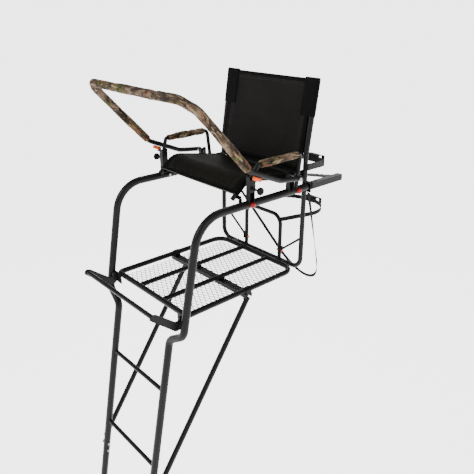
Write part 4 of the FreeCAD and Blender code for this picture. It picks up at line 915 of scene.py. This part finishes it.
def back_loop():
    """The hem that wraps the lower bar and hangs slack below it."""
    wrap = 0.0095
    half = 0.2985
    slack_half = 0.285
    slack_depth = 0.015
    bar_y = FRAME_Y - 0.022
    steps = 40
    path = [Vector((-half + 2 * half * step / steps, bar_y, BACK_BAR_Z)) for step in range(steps + 1)]

    def radius_at(index, angle, centre):
        return wrap + 0.0004 * noise.noise(centre * 40)

    verts, faces = ring_mesh(path, frames_along(path, Vector((0, 0, 1))), radius_at, 18)
    for vert in verts:
        if vert.z < BACK_BAR_Z:
            slack = smooth_step(min(1, max(0, (slack_half - abs(vert.x)) / 0.03)))
            vert.z -= slack_depth * slack * (BACK_BAR_Z - vert.z) / wrap
    return piece("back_lower_loop", verts, faces, HEM, "stand")


# ---------------------------------------------------------------- small details

STITCH_PITCH = 0.0062
STITCH_LIFT = 0.0019
STITCH_HALF_WIDTH = 0.0005
STITCH_THICK = 0.0006
STITCH_ARCH = [(-0.0022, -0.0004), (-0.0012, 0.0004), (0.0012, 0.0004), (0.0022, -0.0004)]


def stitches(name, rows, body):
    """Rows of short thread stitches; each row is a list of (point, outward direction)."""
    verts = []
    faces = []
    for row in rows:
        travelled = 0.0
        for (start, out), (end, _) in zip(row, row[1:]):
            run = end - start
            along = run.normalized()
            while travelled < run.length:
                stitch(verts, faces, start + along * travelled, along, out)
                travelled += STITCH_PITCH
            travelled -= run.length
    return piece(name, verts, faces, THREAD, body, smooth=False)


def stitch(verts, faces, middle, along, out):
    """One stitch: a flat thread whose two ends dip into the cloth."""
    base = len(verts)
    side = along.cross(out).normalized() * STITCH_HALF_WIDTH
    under = out * STITCH_THICK
    for place, lift in STITCH_ARCH:
        spot = middle + along * place + out * lift
        verts.extend((spot + side, spot - side, spot - side - under, spot + side - under))
    for link in range(3):
        join_rings(faces, base + link * 4, 4)
    faces.append((base, base + 3, base + 2, base + 1))
    faces.append((base + 12, base + 13, base + 14, base + 15))


def tube_plug(name, end, direction, radius, body):
    """A moulded plug with a domed head that closes a tube's end."""
    # The plug's outline, as (distance past the tube's end, radius).
    profile = [(-0.004, radius - 0.0018), (-0.0001, radius - 0.0018), (0.0001, radius + 0.0003),
               (0.0016, radius + 0.0003), (0.0032, radius - 0.0022), (0.0040, radius * 0.45)]
    side = direction.orthogonal().normalized()
    up = direction.cross(side)
    segments = 24
    centres = [end + direction * along for along, _ in profile]
    axes = [(direction, side, up)] * len(profile)
    verts, faces = ring_mesh(centres, axes, lambda index, angle, centre: profile[index][1], segments)
    faces.append(tuple(reversed(range(segments))))
    faces.append(tuple(range(len(verts) - segments, len(verts))))
    return piece(name, verts, faces, MATERIALS["black_plastic"], body)


def seat_plugs():
    """Plugs in the seat tubes' front ends."""
    _, crest, front = seat_corners()
    for name, side in (("left", 1), ("right", -1)):
        end = front + Vector((side * SEAT_TUBE_X, 0, 0))
        tube_plug("seat_plug_" + name, end, (front - crest).normalized(), LIGHT_R, "seat_body")


BEAD_THICK = 0.0019
BEAD_SINK = 0.0017


def weld_beads():
    """Beads where the rungs meet the rails."""
    verts = []
    faces = []
    rng = random.Random(5)
    for index in range(RUNG_COUNT):
        height = PLATFORM_Z - FIRST_RUNG - RUNG_PITCH * index
        y = PLATFORM_REAR - PLATFORM_DEPTH - LADDER_LEAD + LADDER_LEAN * (height - PLATFORM_Z)
        for side in (1, -1):
            bead(verts, faces, Vector((side * LADDER_X, y, height)), LIGHT_R + 0.0006, rng)
    piece("rung_welds", verts, faces, WELD, "stand")


def bead(verts, faces, rail, radius, rng, around=36, across=8):
    """A rippled ring about the X axis, on the inner side of the round rail at a point."""
    base = len(verts)
    inwards = -math.copysign(1, rail.x)
    for step in range(around):
        angle = 2 * math.pi * step / around
        reach = math.sqrt(MAIN_R ** 2 - (radius * math.cos(angle)) ** 2) - BEAD_SINK
        thick = BEAD_THICK * (1 + 0.22 * math.sin(step * 2.1) + 0.12 * rng.random())
        for turn in range(across):
            phi = 2 * math.pi * turn / across
            out = radius + thick * math.cos(phi)
            x = rail.x + inwards * reach + thick * math.sin(phi)
            verts.append(Vector((x, rail.y + out * math.cos(angle), rail.z + out * math.sin(angle))))
    for step in range(around):
        join_rings(faces, base + step * across, across, base + (step + 1) % around * across)


# ---------------------------------------------------------------- studio

FLOOR_GLOW = 3.4
HORIZON_GLOW = 3.75


def floor():
    """A wide pale floor just under the stand's feet, as bright as the horizon."""
    size = 1500.0
    level = cad_box[0][2] - 0.002
    material, _, surface = shader("studio_floor", 0.9)
    surface.inputs["Base Color"].default_value = (0.80, 0.80, 0.80, 1)
    surface.inputs["Emission Color"].default_value = (1, 1, 1, 1)
    surface.inputs["Emission Strength"].default_value = FLOOR_GLOW
    mesh = bpy.data.meshes.new("studio_floor")
    corners = [(-size, -size, level), (size, -size, level), (size, size, level), (-size, size, level)]
    mesh.from_pydata(corners, [], [(0, 1, 2, 3)])
    mesh.materials.append(material)
    made = bpy.data.objects.new("studio_floor", mesh)
    bpy.context.scene.collection.objects.link(made)


def area_light(name, place, target, width, watts):
    """A square soft light that faces the target."""
    data = bpy.data.lights.new(name, "AREA")
    data.shape = "SQUARE"
    data.size = width
    data.energy = watts
    made = bpy.data.objects.new(name, data)
    made.location = place
    made.rotation_euler = (Vector(target) - Vector(place)).to_track_quat("-Z", "Y").to_euler()
    bpy.context.scene.collection.objects.link(made)


def studio_world():
    """A soft dome, bright along the horizon where the floor ends and dimmer overhead."""
    world = bpy.data.worlds.new("studio_world")
    world.use_nodes = True
    tree = world.node_tree
    sky = tree.nodes["Background"]
    where = tree.nodes.new("ShaderNodeTexCoord")
    parts = tree.nodes.new("ShaderNodeSeparateXYZ")
    tree.links.new(where.outputs["Generated"], parts.inputs["Vector"])
    glow = ramp(tree, parts.outputs["Z"], [(0.02, grey(1.0)), (0.09, grey(0.125)), (1.0, grey(0.11))])
    tree.links.new(glow, sky.inputs["Color"])
    sky.inputs["Strength"].default_value = HORIZON_GLOW
    bpy.context.scene.world = world


def studio():
    """Floor, soft lights and the camera at eye level beside the platform."""
    floor()
    studio_world()
    target = (0, -0.6, -0.2)
    area_light("key_light", (-1.5, -5.0, 3.6), target, 2.6, 330)
    area_light("side_light", (5.0, -1.0, 2.6), target, 2.4, 150)
    area_light("back_light", (-3.0, 3.5, 3.5), target, 3.0, 160)
    view = bpy.data.cameras.new("camera")
    view.lens = 40.56
    view.sensor_width = 36.0
    view.clip_end = 5000.0
    eye = bpy.data.objects.new("camera", view)
    eye.location = (2.0249, -2.2654, 0.8392)
    eye.rotation_euler = (math.radians(90 - 23.23), math.radians(-0.23), math.radians(47.86))
    bpy.context.scene.collection.objects.link(eye)
    bpy.context.scene.camera = eye


rail_foam()
armrest_foam()
deck_mesh()
seat_sling()
back_sling()
weld_beads()
seat_plugs()
studio()
